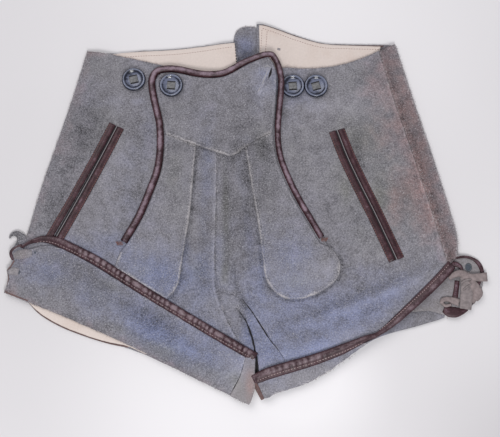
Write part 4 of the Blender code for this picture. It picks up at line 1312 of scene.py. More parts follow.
def right_back():
    """The flat grid first, then the fold and the strip in front, row by row."""
    edge = Path(FOLD_RIGHT, VENT_RIGHT)
    inner = edge.moved(-FOLD_RADIUS)
    wrap_end = Path(FOLD_RIGHT).length / edge.length
    down = np.linspace(0, 1, BACK_ROWS)
    top, hem = up_to(BACK_TOP_RIGHT, inner.at(0)), up_to(BACK_HEM_RIGHT, inner.at(1))
    flat = coons(top, hem, Path(CENTRE_BACK_RIGHT), inner, np.linspace(0, 1, BACK_COLUMNS), down)
    rows, width = flat.shape[:2]
    spots = flat.reshape(-1, 2)
    points = [(x, y, z) for (x, y), z in zip(spots, back_floor(spots))]
    faces = [
        [i * width + j, i * width + j + 1, (i + 1) * width + j + 1, (i + 1) * width + j]
        for i in range(rows - 1) for j in range(width - 1)
    ]
    seam = Path(SEAM_RIGHT)
    wraps = [i for i in range(rows) if down[i] <= wrap_end]
    turn = np.radians(np.linspace(-FOLD_TURN, FOLD_TURN, FOLD_POINTS))
    strip = np.linspace(0, 1, STRIP_POINTS)
    before = None
    for i in wraps:
        v = down[i]
        fold_point, start, seam_point = edge.at(v), flat[i, -1], seam.at(v / down[wraps[-1]])
        height = float(front_roof(start[None])[0])
        ring = [i * width + width - 1]
        for angle in turn:
            x, y = start + (fold_point - start) * math.cos(angle)
            ring.append(len(points))
            points.append((x, y, 0.5 * height * (1 + math.sin(angle))))
        across = start + (seam_point - start) * strip[:, None]
        for (x, y), z in zip(across, front_roof(across)):
            ring.append(len(points))
            points.append((x, y, z))
        if before:
            faces += [[before[k], before[k + 1], ring[k + 1], ring[k]] for k in range(len(ring) - 1)]
        before = ring
    points = np.array(points)
    spots = points[:, :2]
    in_front = points[:, 2] > STRIP_HEIGHT
    worn = 0.5 * np.exp(-(seam.distance(spots) / 1.6) ** 2) * in_front
    worn += 0.75 * np.exp(-(edge.distance(spots) / 2.4) ** 2)
    masks = np.clip(stains_and_shade(spots) + in_front[:, None] * np.array(STRIP_TINTS), 0, 1)
    piece = build("suede_back_right", points, faces, suede, masks, worn)
    solid = piece.modifiers.new("thickness", "SOLIDIFY")
    solid.thickness = SUEDE * MM
    solid.offset = -1
    solid.use_even_offset = False
    stands_for(piece, "suede", "back_right")
    piece["cut"] = RIGHT_BACK_CUT
    print("suede_back_right:", len(faces), "faces in its sheet")
    return piece


back_right = right_back()

# %% [markdown]
# ## Facings
# The inside of the waist and of one hem is lined with a strip of cream leather, which shows where
# the back stands above the front.  It lies on the back with a little air under it.

# %% Cream facings
facings = [
    cloth(f"cream_{node}", outline(node), facing_floor, cream, "cream_facing", node,
          thickness=FACING, spacing=2.6, edge=0.4, grow=grow, fray=0.15, wear=0.2)
    for node, grow in (("waist_facing_left", 0.3), ("waist_facing_right", 0.3), ("hem_facing_left", 1.8))
]

# %% [markdown]
# ## Fronts and crotch pieces
# Each front is one panel with a cut beside the flap.  They roll down to the back at the side and
# inseam and stand a few millimetres off it in the middle, with the creases of long wear.

# %% Fronts
front_left, front_right = (
    cloth(f"suede_{node}", outline(node), front_floor, suede, "suede", node, spacing=1.5, grow=grow)
    for node, grow in (("front_left", 0.13), ("front_right", 0.25))
)
gussets = [
    cloth(f"suede_{node}", outline(node), front_floor, suede, "suede", node,
          wear=0.3, edge=0.5, grow=0.5, spacing=1.5)
    for node in ("gusset_left", "gusset_right")
]

# %% [markdown]
# ## The crotch
# Four pieces meet at the crotch, so a maker lays a small stay under the corner.  Below it two
# seams gape a little where the legs part.  The shade in a gap reads as a dark line, so a thin dark
# strip of painted shadow lies in each, narrow where the seam is still closed.

# %% Stay under the corner
STAY_CENTRE, STAY_ACROSS, STAY_UP = (-22.0, -61.0), 14.0, 25.0
turns = np.linspace(0, 2 * math.pi, 60, endpoint=False)
stay_loop = np.array(STAY_CENTRE) + np.stack([STAY_ACROSS * np.cos(turns), STAY_UP * np.sin(turns)], 1)
crotch_stay = cloth(
    "suede_crotch_stay", stay_loop, lambda xy: front_floor(xy) - 0.2, suede, "suede", thickness=1.1, edge=0.3,
)

# %% Where the seams gape
LEG_SEAM = (
    (-1.4, -93.5), (2.9, -102.4), (5.4, -109.4), (7, -116.5), (9.4, -129), (10.5, -138.5), (10.4, -146.4),
)
THIGH_SEAM = ((-4.2, -76.2), (4.6, -87), (13.6, -101), (20.6, -112), (29, -122.6), (33, -128.6))
GAPS = (
    # name, marks, widest, share of its length where it closes
    ("legs", LEG_SEAM, 1.4, 1.7),
    ("thigh", THIGH_SEAM, 1.05, 0.86),
)
for label, marks, widest, closes in GAPS:
    print(f"gap_{label} will be {Path(marks).length:.0f} mm long and {widest} mm wide")

# %% [markdown]
# ## The drop-front flap
# The flap has a yoke that ends in a point and two long panels with round ends.  Their edges are
# turned under and stitched twice, which presses them flat and rubs them pale.

# %% Where the piping will run
PIPING_LEFT = (
    (-111.5, -29), (-96.5, -2.5), (-86, 23.5), (-80, 42), (-78, 62),
    (-79, 83.5), (-84, 105), (-86.3, 118), (-86, 127),
)
PIPING_TOP = (
    (-80.5, 134), (-66, 135.5), (-44, 131), (-33, 130), (-20, 131.7), (-3, 140.5), (12, 146.2), (19, 147.6),
)
PIPING_RIGHT = (
    (23.4, 147.2), (25.8, 144.0), (28.6, 138.5), (31, 130), (32, 119), (30, 96), (28.5, 75),
    (30.5, 54.5), (36.5, 36.5), (46.5, 15), (58.5, -6), (69.5, -25),
)
piping_path = Path(PIPING_LEFT, PIPING_TOP, PIPING_RIGHT)
print("piping:", round(piping_path.length), "mm long")


def clear_of_piping(xy):
    """Nothing is rubbed pale right beside the piping, which shields it."""
    return step((piping_path.distance(xy) - 4.0) / 3.0)


# %% Flap
yoke = cloth(
    "suede_flap_yoke", outline("flap_yoke"), flap_floor, suede, "suede", "flap_yoke", spacing=1.5,
    stitched=3.3, grow=0.3, wear=1.15, worn_width=2.3, shielded=clear_of_piping,
)
panels = [
    cloth(f"suede_{node}", outline(node), flap_floor, suede, "suede", node,
          stitched=3.3, wear=0.95, worn_width=2.7, shielded=clear_of_piping)
    for node in ("flap_panel_left", "flap_panel_right")
]

# %% [markdown]
# ## Cuffs
# The left leg is turned up into a deep cuff that rolls round the leg's edge, and ends at a laced
# vent.  The right leg is let down, with only a narrow turn-up near the inseam.  Each free edge is
# bound, and the binding is ruched where the leather was eased round.

# %% Left cuff


def cuff_floor(fold):
    """A cuff's underside: low at its fold, where no inner layer reaches, and on the leg elsewhere."""
    return lambda xy: np.where(fold.distance(xy) < HEM_INSET - 0.5, FOLD_FLOOR, trim_floor(xy))


fold_left = Path(CUFF_FOLD_LEFT)
cuff_left = cloth(
    "suede_cuff_left", outline("cuff_left", rounds=2), cuff_floor(fold_left), suede, "suede",
    "cuff_left", roof=rolled(fold_left, CUFF_ROLL), edge=0.45, wear=0.5,
)
cuff_end = cloth(
    "suede_cuff_left_end", outline("cuff_left_end"), trim_floor, suede_pale, "suede",
    "cuff_left_end", fray=0.3, grow=0.5, edge=0.5,
)

# %% Right turn-up and vent tab
BINDING_RIGHT = (
    # x, y, width
    (183, -46, 9.0), (171, -59, 9.0), (156, -73.5, 8.5), (133, -94.5, 7.0), (117, -107, 4.0),
    (104, -112, 5.6), (84, -121, 9.0), (60, -129.8, 9.8), (38.5, -136.2, 10.4), (21, -141.4, 10.4),
    (12, -145, 9.6), (6.2, -147.8, 8.2),
)
TWIST_AT = (113.0, -109.0)              # where the right binding turns over
TURNUP_LOW = (
    (14.3, -163.4), (20.5, -162.6), (25, -159.2), (38.4, -155), (53, -150.4),
    (64, -144.6), (78.5, -135.6), (93.5, -124.6), (105, -116.8), (117, -109),
)

fold_right = Path(TURNUP_FOLD)
right_binding_path = Path(BINDING_RIGHT)
twist = float(right_binding_path.nearest(np.array([TWIST_AT]))[1][0])
under_binding = right_binding_path.part(twist + 0.01, 1.0).moved(3.0)
share = np.linspace(0, 1, 60)
turnup_loop = softened(np.vstack([Path(TURNUP_LOW).at(share), under_binding.at(share)]), 1.3, 3)
turnup = cloth(
    "suede_cuff_right_turnup", turnup_loop, cuff_floor(fold_right), suede, "suede",
    "cuff_right_turnup", roof=rolled(fold_right, HEM_INSET + FOLD_BLUNT), edge=0.45, fray=0.5,
)
vent_tab = cloth(
    "suede_vent_tab", outline("vent_tab_right", rounds=3), tab_floor, suede_pale, "thong", "vent_tab_right",
    thickness=TAB_LEATHER, edge=0.5, fray=0.3,
)

# %% [markdown]
# ## Rolled bindings
# A binding is a strip of thin leather sewn over an edge.  It is swept along its line with a
# section of its own: round for the flap's piping, and a roll with a flat stitched lip for the
# cuffs.  Small ridges across it come from easing the leather.

# %% Sections
ARCH = np.linspace(-1, 1, 13)           # places across a strip, from edge to edge


def dome(across):
    """A low round section."""
    return np.sqrt(np.maximum(0, 1 - across**2)) ** 0.85


def lipped(side):
    """A roll on one side and a flat lip on the other; side is where the lip lies."""
    def section(across):
        a = across * side
        roll = np.sqrt(np.maximum(0, 1 - ((a + 0.28) / 0.74) ** 2))
        lip = 0.52 * np.sqrt(np.maximum(0, 1 - np.maximum(a - 0.55, 0) ** 2 / 0.21))
        return np.maximum(roll * (a < 0.46), lip * (a > 0.0))
    return section


def tapered(*widths):
    """A width that passes through these values, evenly along a strip."""
    places = np.linspace(0, 1, len(widths))
    return lambda share: np.interp(share, places, widths)


# %% Sweep a section along a line


def sweep(name, path, width, height, floor, finish, slot, *nodes, section=dome, ruche=None,
          spacing=0.9, skirt=0.35, wear=0.5, shine=3.0):
    """A strip along a path.

    width and height are numbers or functions of the share, and ruche gives ridges across it.
    section can also be two sections and how far the second has replaced the first.  skirt is how
    high the strip's edges stand, and a high shine keeps the wear on its ridges' crests, where it also
    stands for painted highlight.
    """
    count = max(4, round(path.length / spacing))
    share = np.linspace(0, 1, count)
    give = lambda value: value(share) if callable(value) else np.full(count, float(value))
    centre, side = path.at(share), path.side(share)
    half, tall = 0.5 * give(width), give(height)
    rings = centre[:, None] + side[:, None] * (half[:, None] * ARCH[None])[..., None]
    base = floor(rings.reshape(-1, 2)).reshape(count, len(ARCH))
    if isinstance(section, tuple):
        first, second, turned = section[0](ARCH)[None], section[1](ARCH)[None], section[2](share)[:, None]
        profile = first * (1 - turned) + second * turned
    else:
        profile = section(ARCH)[None]
    lift = tall[:, None] * profile
    if ruche is not None:
        lift = lift + ruche(share, path.length)[:, None] * profile**0.8
    roundoff = np.sqrt(np.clip(np.minimum(share, 1 - share) * path.length / 1.2, 0, 1))
    top = base + skirt + (lift - skirt * 0.2) * (0.35 + 0.65 * roundoff[:, None])
    points = np.concatenate([
        np.column_stack([rings.reshape(-1, 2), top.reshape(-1)]),
        np.column_stack([rings.reshape(-1, 2), base.reshape(-1)]),
    ])
    wide = len(ARCH)
    last = wide - 1
    under = count * wide
    faces = []
    for i in range(count - 1):
        a, b = i * wide, (i + 1) * wide
        for j in range(last):
            faces.append([a + j, b + j, b + j + 1, a + j + 1])
            faces.append([under + a + j, under + a + j + 1, under + b + j + 1, under + b + j])
        faces.append([a, a + under, b + under, b])
        faces.append([a + last, b + last, b + last + under, a + last + under])
    for row, flip in ((0, False), ((count - 1) * wide, True)):
        for j in range(last):
            quad = [row + j, row + j + 1, row + j + 1 + under, row + j + under]
            faces.append(quad[::-1] if flip else quad)
    # wear on the crests, which is also painted highlight
    worn = wear * np.clip(lift / float(lift.max()), 0, 1) ** shine
    worn = np.concatenate([worn.ravel(), worn.ravel()])
    piece = build(name, points, [face[::-1] for face in faces], finish, stains_and_shade(points[:, :2]), worn, 60)
    print(f"{name}: {path.length:.0f} mm long, {len(faces)} faces")
    return stands_for(piece, slot, *nodes)


def ridges(pitch, height, start=0.0, end=1.0, seed=1.0):
    """Beads across a strip, uneven in size and spacing, between two shares of its length."""
    def lift(share, length):
        far = share * length
        drift = np.array([noise.noise((d / 23, seed, 0)) for d in far])
        size = np.array([0.8 + 0.8 * noise.noise((d / 9, seed, 4)) for d in far])
        window = step((share - start) / 0.05) * step((end - share) / 0.05)
        bead = np.abs(np.sin(np.pi * (far / pitch + 1.2 * drift))) ** 0.8
        return height * size * window * (bead - 0.35)
    return lift


# %% Flap piping


def piping_width(share):
    """Narrower down the right edge than down the left."""
    return 6.7 - 1.0 * step((share - 0.35) / 0.3)


# the piping's crest is rubbed pale and carries a painted highlight
sweep(
    "binding_flap_piping", piping_path.part(0.009, 0.991, 400), piping_width, 2.9, flap_floor, binding,
    "brown_binding", "flap_piping", ruche=ridges(13.0, 0.12, 0.02, 0.98, 2.0), wear=0.92, shine=3.0,
)

# %% Left cuff binding
CUFF_BINDING_WIDTH = 8.6


def left_binding_width(share):
    """Narrow where the binding comes out of the vent."""
    return CUFF_BINDING_WIDTH * (0.28 + 0.72 * step(share / 0.16))


def binding_floor(xy):
    """Underside of a binding on a cuff."""
    return trim_floor(xy) + GAP


left_binding_path = Path(BINDING_LEFT).part(0.0, 1.0, 240)
left_binding = sweep(
    "binding_cuff_left", left_binding_path, left_binding_width, 2.4, binding_floor,
    cuff_binding_leather, "brown_binding", "cuff_left_binding", section=lipped(-1),
    ruche=ridges(5.9, 1.7, 0.20, 1.0, 7.0), wear=1.15, spacing=0.6, shine=1.6,
)

# %% Right cuff binding
TURNUP_CLIMB, TURNUP_FROM, TURNUP_RUN = 1.1, 124, 26


def turnup_binding_floor(xy):
    """The right binding climbs onto the turn-up's edge."""
    return trim_floor(xy) + GAP + TURNUP_CLIMB * step((TURNUP_FROM - xy[:, 0]) / TURNUP_RUN)


widths = np.array([row[2] for row in BINDING_RIGHT])
stations = right_binding_path.nearest(np.array([row[:2] for row in BINDING_RIGHT], float))[1]
right_binding = sweep(
    "binding_cuff_right", right_binding_path, lambda share: np.interp(share, stations, widths), 2.2,
    turnup_binding_floor, cuff_binding_leather, "brown_binding", "cuff_right_binding",
    section=(lipped(-1), lipped(1), lambda share: step((share - twist + 0.05) / 0.1)),
    ruche=ridges(6.0, 1.0, 0.66, 0.95, 3.0), wear=0.95, shine=1.8,
)

# %% [markdown]
# ## Pocket welts
# Each slanting pocket is a slit between two strips of brown leather, stitched along their outer
# edges.  A sliver of grey lining shows in the slit.

# %% Welts
WELTS = (
    # node, marks along the middle of the strip, which side the slit is on
    ("pocket_left_welt_outer", (
        (-121.5, 83), (-135, 55.5), (-148, 30.5), (-159.5, 8.5), (-175, -19.5), (-177, -23),
    ), 1),
    ("pocket_left_welt_inner", (
        (-114.3, 79.5), (-122, 63), (-133, 40.5), (-149.5, 8.5), (-166.5, -23), (-168.2, -26.4),
    ), -1),
    ("pocket_right_welt_inner", ((78.3, 76), (87.2, 51.5), (98.5, 26), (113, -4.5), (130.2, -43)), 1),
    ("pocket_right_welt_outer", ((86, 78), (94.9, 54), (106, 29.2), (120.5, -2), (137.6, -40.5)), -1),
)
WELT_WIDTH, WELT_HEIGHT = 6.0, 1.25
welts = {}
for node, marks, slit_side in WELTS:
    welts[node] = sweep(
        f"binding_{node}", Path(marks).moved(-0.3 * slit_side), WELT_WIDTH, WELT_HEIGHT, trim_floor, binding,
        "brown_binding", node, section=lipped(-slit_side),
        ruche=ridges(9.0, 0.22, 0.03, 0.97, float(slit_side)), skirt=0.25,
    )

# %% Pocket slits
SLITS = (
    ("left", ((-117.9, 81.2), (-128.5, 59.2), (-140.5, 35.5), (-154.5, 8.5), (-170.5, -21.5), (-172, -24.5))),
    ("right", ((82.1, 77), (91, 52.8), (102.2, 27.6), (116.8, -3.2), (133.9, -41.7))),
)
for side_name, marks in SLITS:
    middle = Path(marks)
    sweep(f"slit_{side_name}_shadow", middle, 2.6, 0.05, trim_floor, painted_slit_shadow, "brown_binding", skirt=0.1)
    sweep(
        f"slit_{side_name}_lining", middle.moved(0.45), 0.75, 0.8, trim_floor, lining_strip,
        "brown_binding", skirt=0.1, spacing=1.5,
    )

# %% [markdown]
# ## Stitches
# A row of stitches is many short bowed threads on the surface that carries it.  Its height is
# found by dropping a ray onto that piece, so a stitch never floats or sinks when a crease moves.

# %% Drop a ray onto pieces


def top_of(*pieces):
    """A height function: where a ray straight down first meets one of these pieces."""
    trees = []
    for piece in pieces:
        shape = piece.evaluated_get(bpy.context.evaluated_depsgraph_get()).to_mesh()
        corners = [vertex.co.copy() for vertex in shape.vertices]
        trees.append(BVHTree.FromPolygons(corners, [list(face.vertices) for face in shape.polygons]))

    def height(xy):
        found = []
        for x, y in placed(np.column_stack([xy, np.zeros(len(xy))]))[:, :2]:
            hits = [tree.ray_cast(Vector((x, y, 0.05)), Vector((0, 0, -1)))[0] for tree in trees]
            found.append(max((hit.z for hit in hits if hit), default=0.0) / MM)
        return np.array(found)
    return height


# %% Threads and rows of stitches
THREAD_BEND = 0.28          # a thread has a ring of corners this share of its length off its middle
THREAD_RING = ((-0.4, 0.0), (0.0, 1.0), (0.4, 0.0), (0.0, -0.6))


def threads(name, starts, ends, floor, finish, slot, width=0.55, lift=0.28, sink=0.12):
    """Short bowed threads from each start to each end, with four sides and pointed tips."""
    starts, ends = np.array(starts, float), np.array(ends, float)
    centre = 0.5 * (starts + ends)
    reach = ends - starts
    along = reach / np.maximum(np.linalg.norm(reach, axis=1, keepdims=True), TINY)
    side = np.stack([-along[:, 1], along[:, 0]], 1)
    base = floor(centre)
    points, faces = [], []
    for (x, y), (rx, ry), (sx, sy), z, start, end in zip(centre, reach, side, base, starts, ends):
        first = len(points)
        points.append((start[0], start[1], z - sink))
        for shift in (-THREAD_BEND, THREAD_BEND):
            for across, up in THREAD_RING:
                points.append((
                    x + rx * shift + sx * width * across,
                    y + ry * shift + sy * width * across,
                    z + lift * up * 0.9,
                ))
        points.append((end[0], end[1], z - sink))
        for k in range(4):
            n = (k + 1) % 4
            faces.append([first, first + 1 + n, first + 1 + k])
            faces.append([first + 1 + k, first + 1 + n, first + 5 + n, first + 5 + k])
            faces.append([first + 5 + k, first + 5 + n, first + 9])
    piece = build(name, points, faces, finish, angle=80)
    return stands_for(piece, slot)


def stitch_row(name, path, floor, finish, slot, pitch=2.8, length=1.9, **shape):
    """An even row of stitches along a path."""
    count = max(2, round(path.length / pitch))
    share = (np.arange(count) + 0.5) / count
    half = 0.5 * length / path.length
    print(f"{name}: {count} stitches over {path.length:.0f} mm")
    return threads(name, path.at(share - half), path.at(share + half), floor, finish, slot, **shape)


# %% Stitches on the welts and bindings
for node, marks, slit_side in WELTS:
    stitch_row(
        f"stitches_{node}", Path(marks).moved(-slit_side * 2.6).part(0.01, 0.99), top_of(welts[node]),
        thread_orange, "brown_binding", 2.3, 1.6, width=0.5, lift=0.2,
    )
stitch_row(
    "stitches_cuff_left", left_binding_path.part(0.05, 1.0).moved(-2.3), top_of(left_binding),
    thread_pale, "brown_binding", 2.7, 1.9, width=0.5, lift=0.2,
)
for label, row, pitch, length in (
    ("upper", right_binding_path.part(0.01, twist - 0.03).moved(-2.2), 2.4, 1.8),
    ("lower", right_binding_path.part(twist + 0.06, 0.99).moved(2.4), 2.6, 2.0),
):
    stitch_row(
        f"stitches_cuff_right_{label}", row, top_of(right_binding), thread_pale, "brown_binding",
        pitch, length, width=0.6,
    )

# %% Stitches on the flap's panels
for label, marks, panel, turn in (("left", LOBE_LEFT, panels[0], -1), ("right", LOBE_RIGHT, panels[1], 1)):
    for number, inset in enumerate((0.9, 3.3)):
        row = Path(marks).moved(turn * inset).part(0.03, 0.985)
        stitch_row(
            f"stitches_lobe_{label}_{number + 1}", row, top_of(panel), thread_suede, "suede",
            2.4, 2.0, width=0.45, lift=0.14,
        )
stitch_row(
    "stitches_yoke", Path(YOKE_SEAM).moved(3.2).part(0.03, 0.97), top_of(yoke), thread_suede, "suede",
    2.4, 1.9, width=0.35, lift=0.1,
)

# %% Dark gaps between the legs, which had to wait for top_of
GAP_BOTTOM = 3.6            # the strips stay above the backs
UNEVEN_MARKS = np.linspace(0, 1, 80)

crotch_top = top_of(front_left, front_right, *gussets)
# a wider dark sheet of painted shadow under the legs' gap
sweep(
    "gap_legs_lining", Path(LEG_SEAM), 5.0, 0.04, lambda xy: front_floor(xy) - 0.35, painted_slit_shadow, "suede",
    spacing=1.2, skirt=0.08,
)
for label, marks, widest, closes in GAPS:
    seam = Path(marks)
    uneven = 1 + 0.9 * wavy(seam.at(UNEVEN_MARKS), 5.0, 2.0)
    sweep(
        f"gap_{label}", seam,
        lambda share: widest * np.interp(share, UNEVEN_MARKS, uneven)
        * np.sin(np.pi * np.clip(0.03 + 0.94 * share / closes, 0.02, 0.98)) ** 0.7,
        0.04, lambda xy: np.maximum(crotch_top(xy) - 0.03, GAP_BOTTOM), painted_slit_shadow, "suede",
        spacing=0.8, skirt=0.1, wear=0.0,
    )

# %% [markdown]
# ## Edges of the facings
# The facings are sewn down with brown thread, and their cut edges have darkened.  The rows keep an
# even distance from the edges, and a thin brown strip lies along each edge that shows.

# %% Stitches on the facings
facing_rows = (
    ("left", facings[0], Path(((-122, 146.3), (-105, 148.4), (-66, 150.4), (-38, 153.8), (-13, 157)))),
    ("right", facings[1], Path(((14.5, 175.2), (33, 168.7), (67, 157.7), (92, 156), (123, 155.2)))),
    ("slit_1", facings[1], Path(((14.5, 174), (13, 150), (11.5, 140)))),
    ("slit_2", facings[1], Path(((19.3, 172.5), (17.4, 150), (16, 140)))),
)
for label, facing, row in facing_rows:
    stitch_row(
        f"stitches_facing_{label}", row, top_of(facing), thread_dark, "cream_facing",
        2.4, 1.8, width=0.62, lift=0.12,
    )
# dark stitches in the shadow finish, which also stand for painted shadow along the facing's edge
stitch_row(
    "stitches_slit_left", Path(((-10.8, 160.5), (-9.6, 148), (-8.6, 136))), top_of(facings[0], back_left),
    painted_slit_shadow, "cream_facing", 2.6, 2.1, width=0.9, lift=0.2,
)
stitch_row(
    "stitches_facing_faint", Path(((51.5, 161), (52.3, 138))), top_of(facings[1]),
    cream, "cream_facing", 2.1, 1.8, width=0.3, lift=0.08,
)

# %% Brown edges
EDGES = (
    # name, marks, what it lies on, width
    ("waist_left", ((-118, 149.2), (-105, 151.2), (-66, 153.3), (-38, 156.7), (-11, 160)), back_left, 1.3),
    ("waist_right", ((15, 178.4), (32, 172.9), (67, 161.4), (92, 159.4), (127, 158.8)), back_right, 1.3),
    ("hem_left", ((-194, -78.2), (-182, -90), (-160, -102), (-127, -113.5), (-104, -118.5)), back_left, 1.4),
    ("cuff_end", (
        (-206.8, -42), (-209.2, -46.6), (-213.2, -51.7), (-211.6, -56.2), (-211.4, -58.8), (-213, -63.9),
        (-214.2, -69.5), (-204, -74), (-193.5, -78),
    ), cuff_left, 1.1),
)
for label, marks, carrier, width in EDGES:
    sweep(
        f"edge_{label}", Path(marks), width, 0.35, top_of(carrier), cut_edge, "brown_binding",
        skirt=0.2, spacing=1.5,
    )

# %% A rivet mark on the facing
sweep(
    "mark_facing", Path(((28.6, 155.3), (31.4, 154.7))), 2.2, 0.25, top_of(facings[1]), lining_strip,
    "cream_facing", skirt=0.05, spacing=0.4,
)

# %% [markdown]
# ## Horn buttons
# The buttons are turned from dark horn: a rounded rim, a dished middle, and two slots, which are
# dark strips of painted shadow.  The rim's highlight, the dark of its walls and the dish's reflection
# are painted into the horn's colour.  A suede thong comes up through one slot and down the other,
# so a pale square fills the dish.

# %% Sizes of the buttons
BUTTONS = (
    # x, y, on the flap, turned by degrees
    (-103.0, 124.7, False, 14), (-68.5, 118.5, True, -4), (42.5, 118.5, False, 4), (63.8, 118.5, False, 16),
)
RIM = (
    # radius, height, and painted highlight, or painted shade where less than 0
    (8.9, 0.0, -0.9), (10.2, 0.4, -0.9), (10.8, 1.1, -0.9), (10.9, 1.8, -0.9), (10.7, 2.6, -0.9),
    (10.35, 3.1, -0.7), (9.9, 3.45, 0.3), (9.3, 3.5, 0.45), (8.6, 3.25, 0.1), (8.0, 2.75, -0.4),
    (7.2, 2.2, 0.0), (6.2, 1.85, 0.15), (4.6, 1.65, 0.25), (2.4, 1.6, 0.25),
)
# the dish's middle carries a painted reflection
DISH, DISH_PAINTED_REFLECTION = 1.6, 0.4              # height of the dish's middle, and how pale it is
BUTTON_SIDES = 64
BUTTON_RADIUS = 10.3                    # where it rests on the cloth
SLOT_HALF, SLOT_WIDTH, SLOT_AWAY = 3.8, 1.3, 3.35
THONG_WIDTH, THONG_HALF = 7.6, 2.9

button_thong = plain("button thong", (0.165, 0.165, 0.168, 1), 0.9, 1.3, 1.8, Specular_IOR_Level=0.2)
print("buttons are", 2 * max(row[0] for row in RIM), "mm across")

# %% Buttons


def make_button(number, x, y, on_flap, turned):
    """One button, its two slots and the thong through them."""
    carrier = (lambda xy: flap_floor(xy) + SUEDE + GAP) if on_flap else trim_floor
    angles = np.arange(8) * math.pi / 4
    ring = [(x, y)]
    for radius in (0.5 * BUTTON_RADIUS, BUTTON_RADIUS):
        ring += [(x + radius * math.cos(a), y + radius * math.sin(a)) for a in angles]
    base = float(carrier(np.array(ring)).max())
    points, worn, faces = [], [], []
    for radius, height, pale in RIM:
        for k in range(BUTTON_SIDES):
            a = 2 * math.pi * k / BUTTON_SIDES
            points.append((x + radius * math.cos(a), y + radius * math.sin(a), base + height))
            worn.append(pale)
    for ring_number in range(len(RIM) - 1):
        a = ring_number * BUTTON_SIDES
        for k in range(BUTTON_SIDES):
            n = (k + 1) % BUTTON_SIDES
            faces.append([a + k, a + n, a + BUTTON_SIDES + n, a + BUTTON_SIDES + k])
    points += [(x, y, base), (x, y, base + DISH)]
    worn += [0, DISH_PAINTED_REFLECTION]
    for k in range(BUTTON_SIDES):
        n = (k + 1) % BUTTON_SIDES
        faces.append([len(points) - 2, n, k])
        a = (len(RIM) - 1) * BUTTON_SIDES
        faces.append([a + k, a + n, len(points) - 1])
    button = build(f"horn_button_{number}", points, faces, horn, worn=worn, angle=60)
    stands_for(button, "horn", f"button_{number}")

    down = np.array([math.sin(math.radians(turned)), -math.cos(math.radians(turned))])
    right = np.array([-down[1], down[0]])
    middle = np.array([x, y])
    level = lambda rise: lambda xy: np.full(len(xy), base + rise)
    line = Path((middle - down * THONG_HALF, middle + down * THONG_HALF), smooth=False)
    sweep(
        f"thong_button_{number}", line, THONG_WIDTH, 1.0, level(1.75), button_thong, "thong",
        f"button_{number}_thong", spacing=0.5, wear=0.1, ruche=ridges(2.6, 0.25, seed=float(number)),
    )
    # the two slots are dark strips of painted shadow
    for sign, place in ((-1, "upper"), (1, "lower")):
        spot = middle + sign * down * SLOT_AWAY
        slot_line = Path((spot - right * SLOT_HALF, spot + right * SLOT_HALF), smooth=False)
        sweep(
            f"slot_button_{number}_{place}", slot_line, SLOT_WIDTH, 0.1, level(1.7), painted_slit_shadow, "horn",
            spacing=0.5, skirt=0.1,
        )
    return button


buttons = [make_button(number, *row) for number, row in enumerate(BUTTONS, start=1)]
print("buttons:", [b.name for b in buttons])

# %% [markdown]
# ## Thongs and vents
# Raw suede thongs lace both vents.  On the left, one end curls up and two turns lie over the
# cuff's end.  On the right, the ends are knotted over a round tab with an eyelet and bound edges.

# %% Left vent


def cuff_top(xy):
    """The turned-up cuff's outer side."""
    return trim_floor(xy) + SUEDE


LEFT_LACES = (
    # name, marks, width at each mark, how high it starts
    ("turn_upper", ((-207.5, -38.2), (-203, -37), (-197, -36.2), (-190.5, -36)), (6.0, 9.2, 8.8, 5.6), -0.5),
    ("turn_lower", ((-212, -53.2), (-207.5, -51.6), (-202.2, -52.6)), (4.4, 7.6, 6.6), -0.3),
)
for label, marks, across, rise in LEFT_LACES:
    sweep(
        f"thong_left_{label}", Path(marks), tapered(*across), 1.3, lambda xy: cuff_top(xy) + rise,
        suede_pale, "suede", f"lace_left_{label}", spacing=0.6, wear=0.55, ruche=ridges(7.0, 0.25),
    )
CURL_PLACES = (0, 0.2, 0.4, 0.55, 0.7, 0.85, 1)
CURL_WIDTHS = (6.0, 8.6, 10.2, 9.4, 6.0, 3.6, 1.2)
curl = Path((
    (-206, -41.5), (-206.6, -37), (-204.6, -31.6), (-201.8, -27), (-201.2, -22.8), (-203.4, -19.2),
    (-206.8, -17.2), (-209.8, -17.2), (-212, -18.8), (-213, -21.0),
))
sweep(
    "thong_lace_left_end", curl, lambda share: np.interp(share, CURL_PLACES, CURL_WIDTHS), 1.3,
    lambda xy: 3.2 * step((xy[:, 0] + 215) / 14), suede, "suede", "lace_left_end", spacing=0.5, wear=0.3,
)

# %% Left vent: the binding's turn and two holes
cuff_turn = Path(((-200.5, -28.2), (-206.2, -30.2), (-209.8, -34.2), (-209.4, -38.2), (-206.8, -42.4)))
sweep(
    "binding_cuff_left_turn", cuff_turn, lambda share: 2.6 + 1.2 * np.sin(np.pi * share), 1.5,
    lambda xy: cuff_top(xy) - 1.6, cuff_binding_leather, "brown_binding", spacing=0.5, wear=0.5,
)
# the lace hole and the notch are dark patches of painted shadow
for name, marks, width, rise in (
    ("hole_left_vent", ((-188.8, -35.3), (-187.0, -35.4)), 1.9, 0.0),
    ("notch_left_vent", ((-202.2, -54.2), (-201.2, -51.4)), 1.7, 0.1),
):
    sweep(
        name, Path(marks), width, 0.05, lambda xy: cuff_top(xy) + rise, painted_hole_shadow, "suede",
        spacing=0.4, skirt=0.05,
    )

# %% [markdown]
# ## Right vent
# The right vent hangs open over a round tab.  Its edges are bound in brown, and the thongs are
# crossed and knotted on it.  Each strand is a strip of its own that starts a little higher than
# the one it lies on, so that the crossings stay in order.

# %% Bound edges of the right vent


def raised(rise):
    """A height function this far above the vent tab."""
    return lambda xy: tab_roof(xy) + rise


def solid_named(node):
    """The solid of this name, in a tuple, or nothing where a strip has none of its own."""
    return (node,) if node in frame["nodes"] else ()


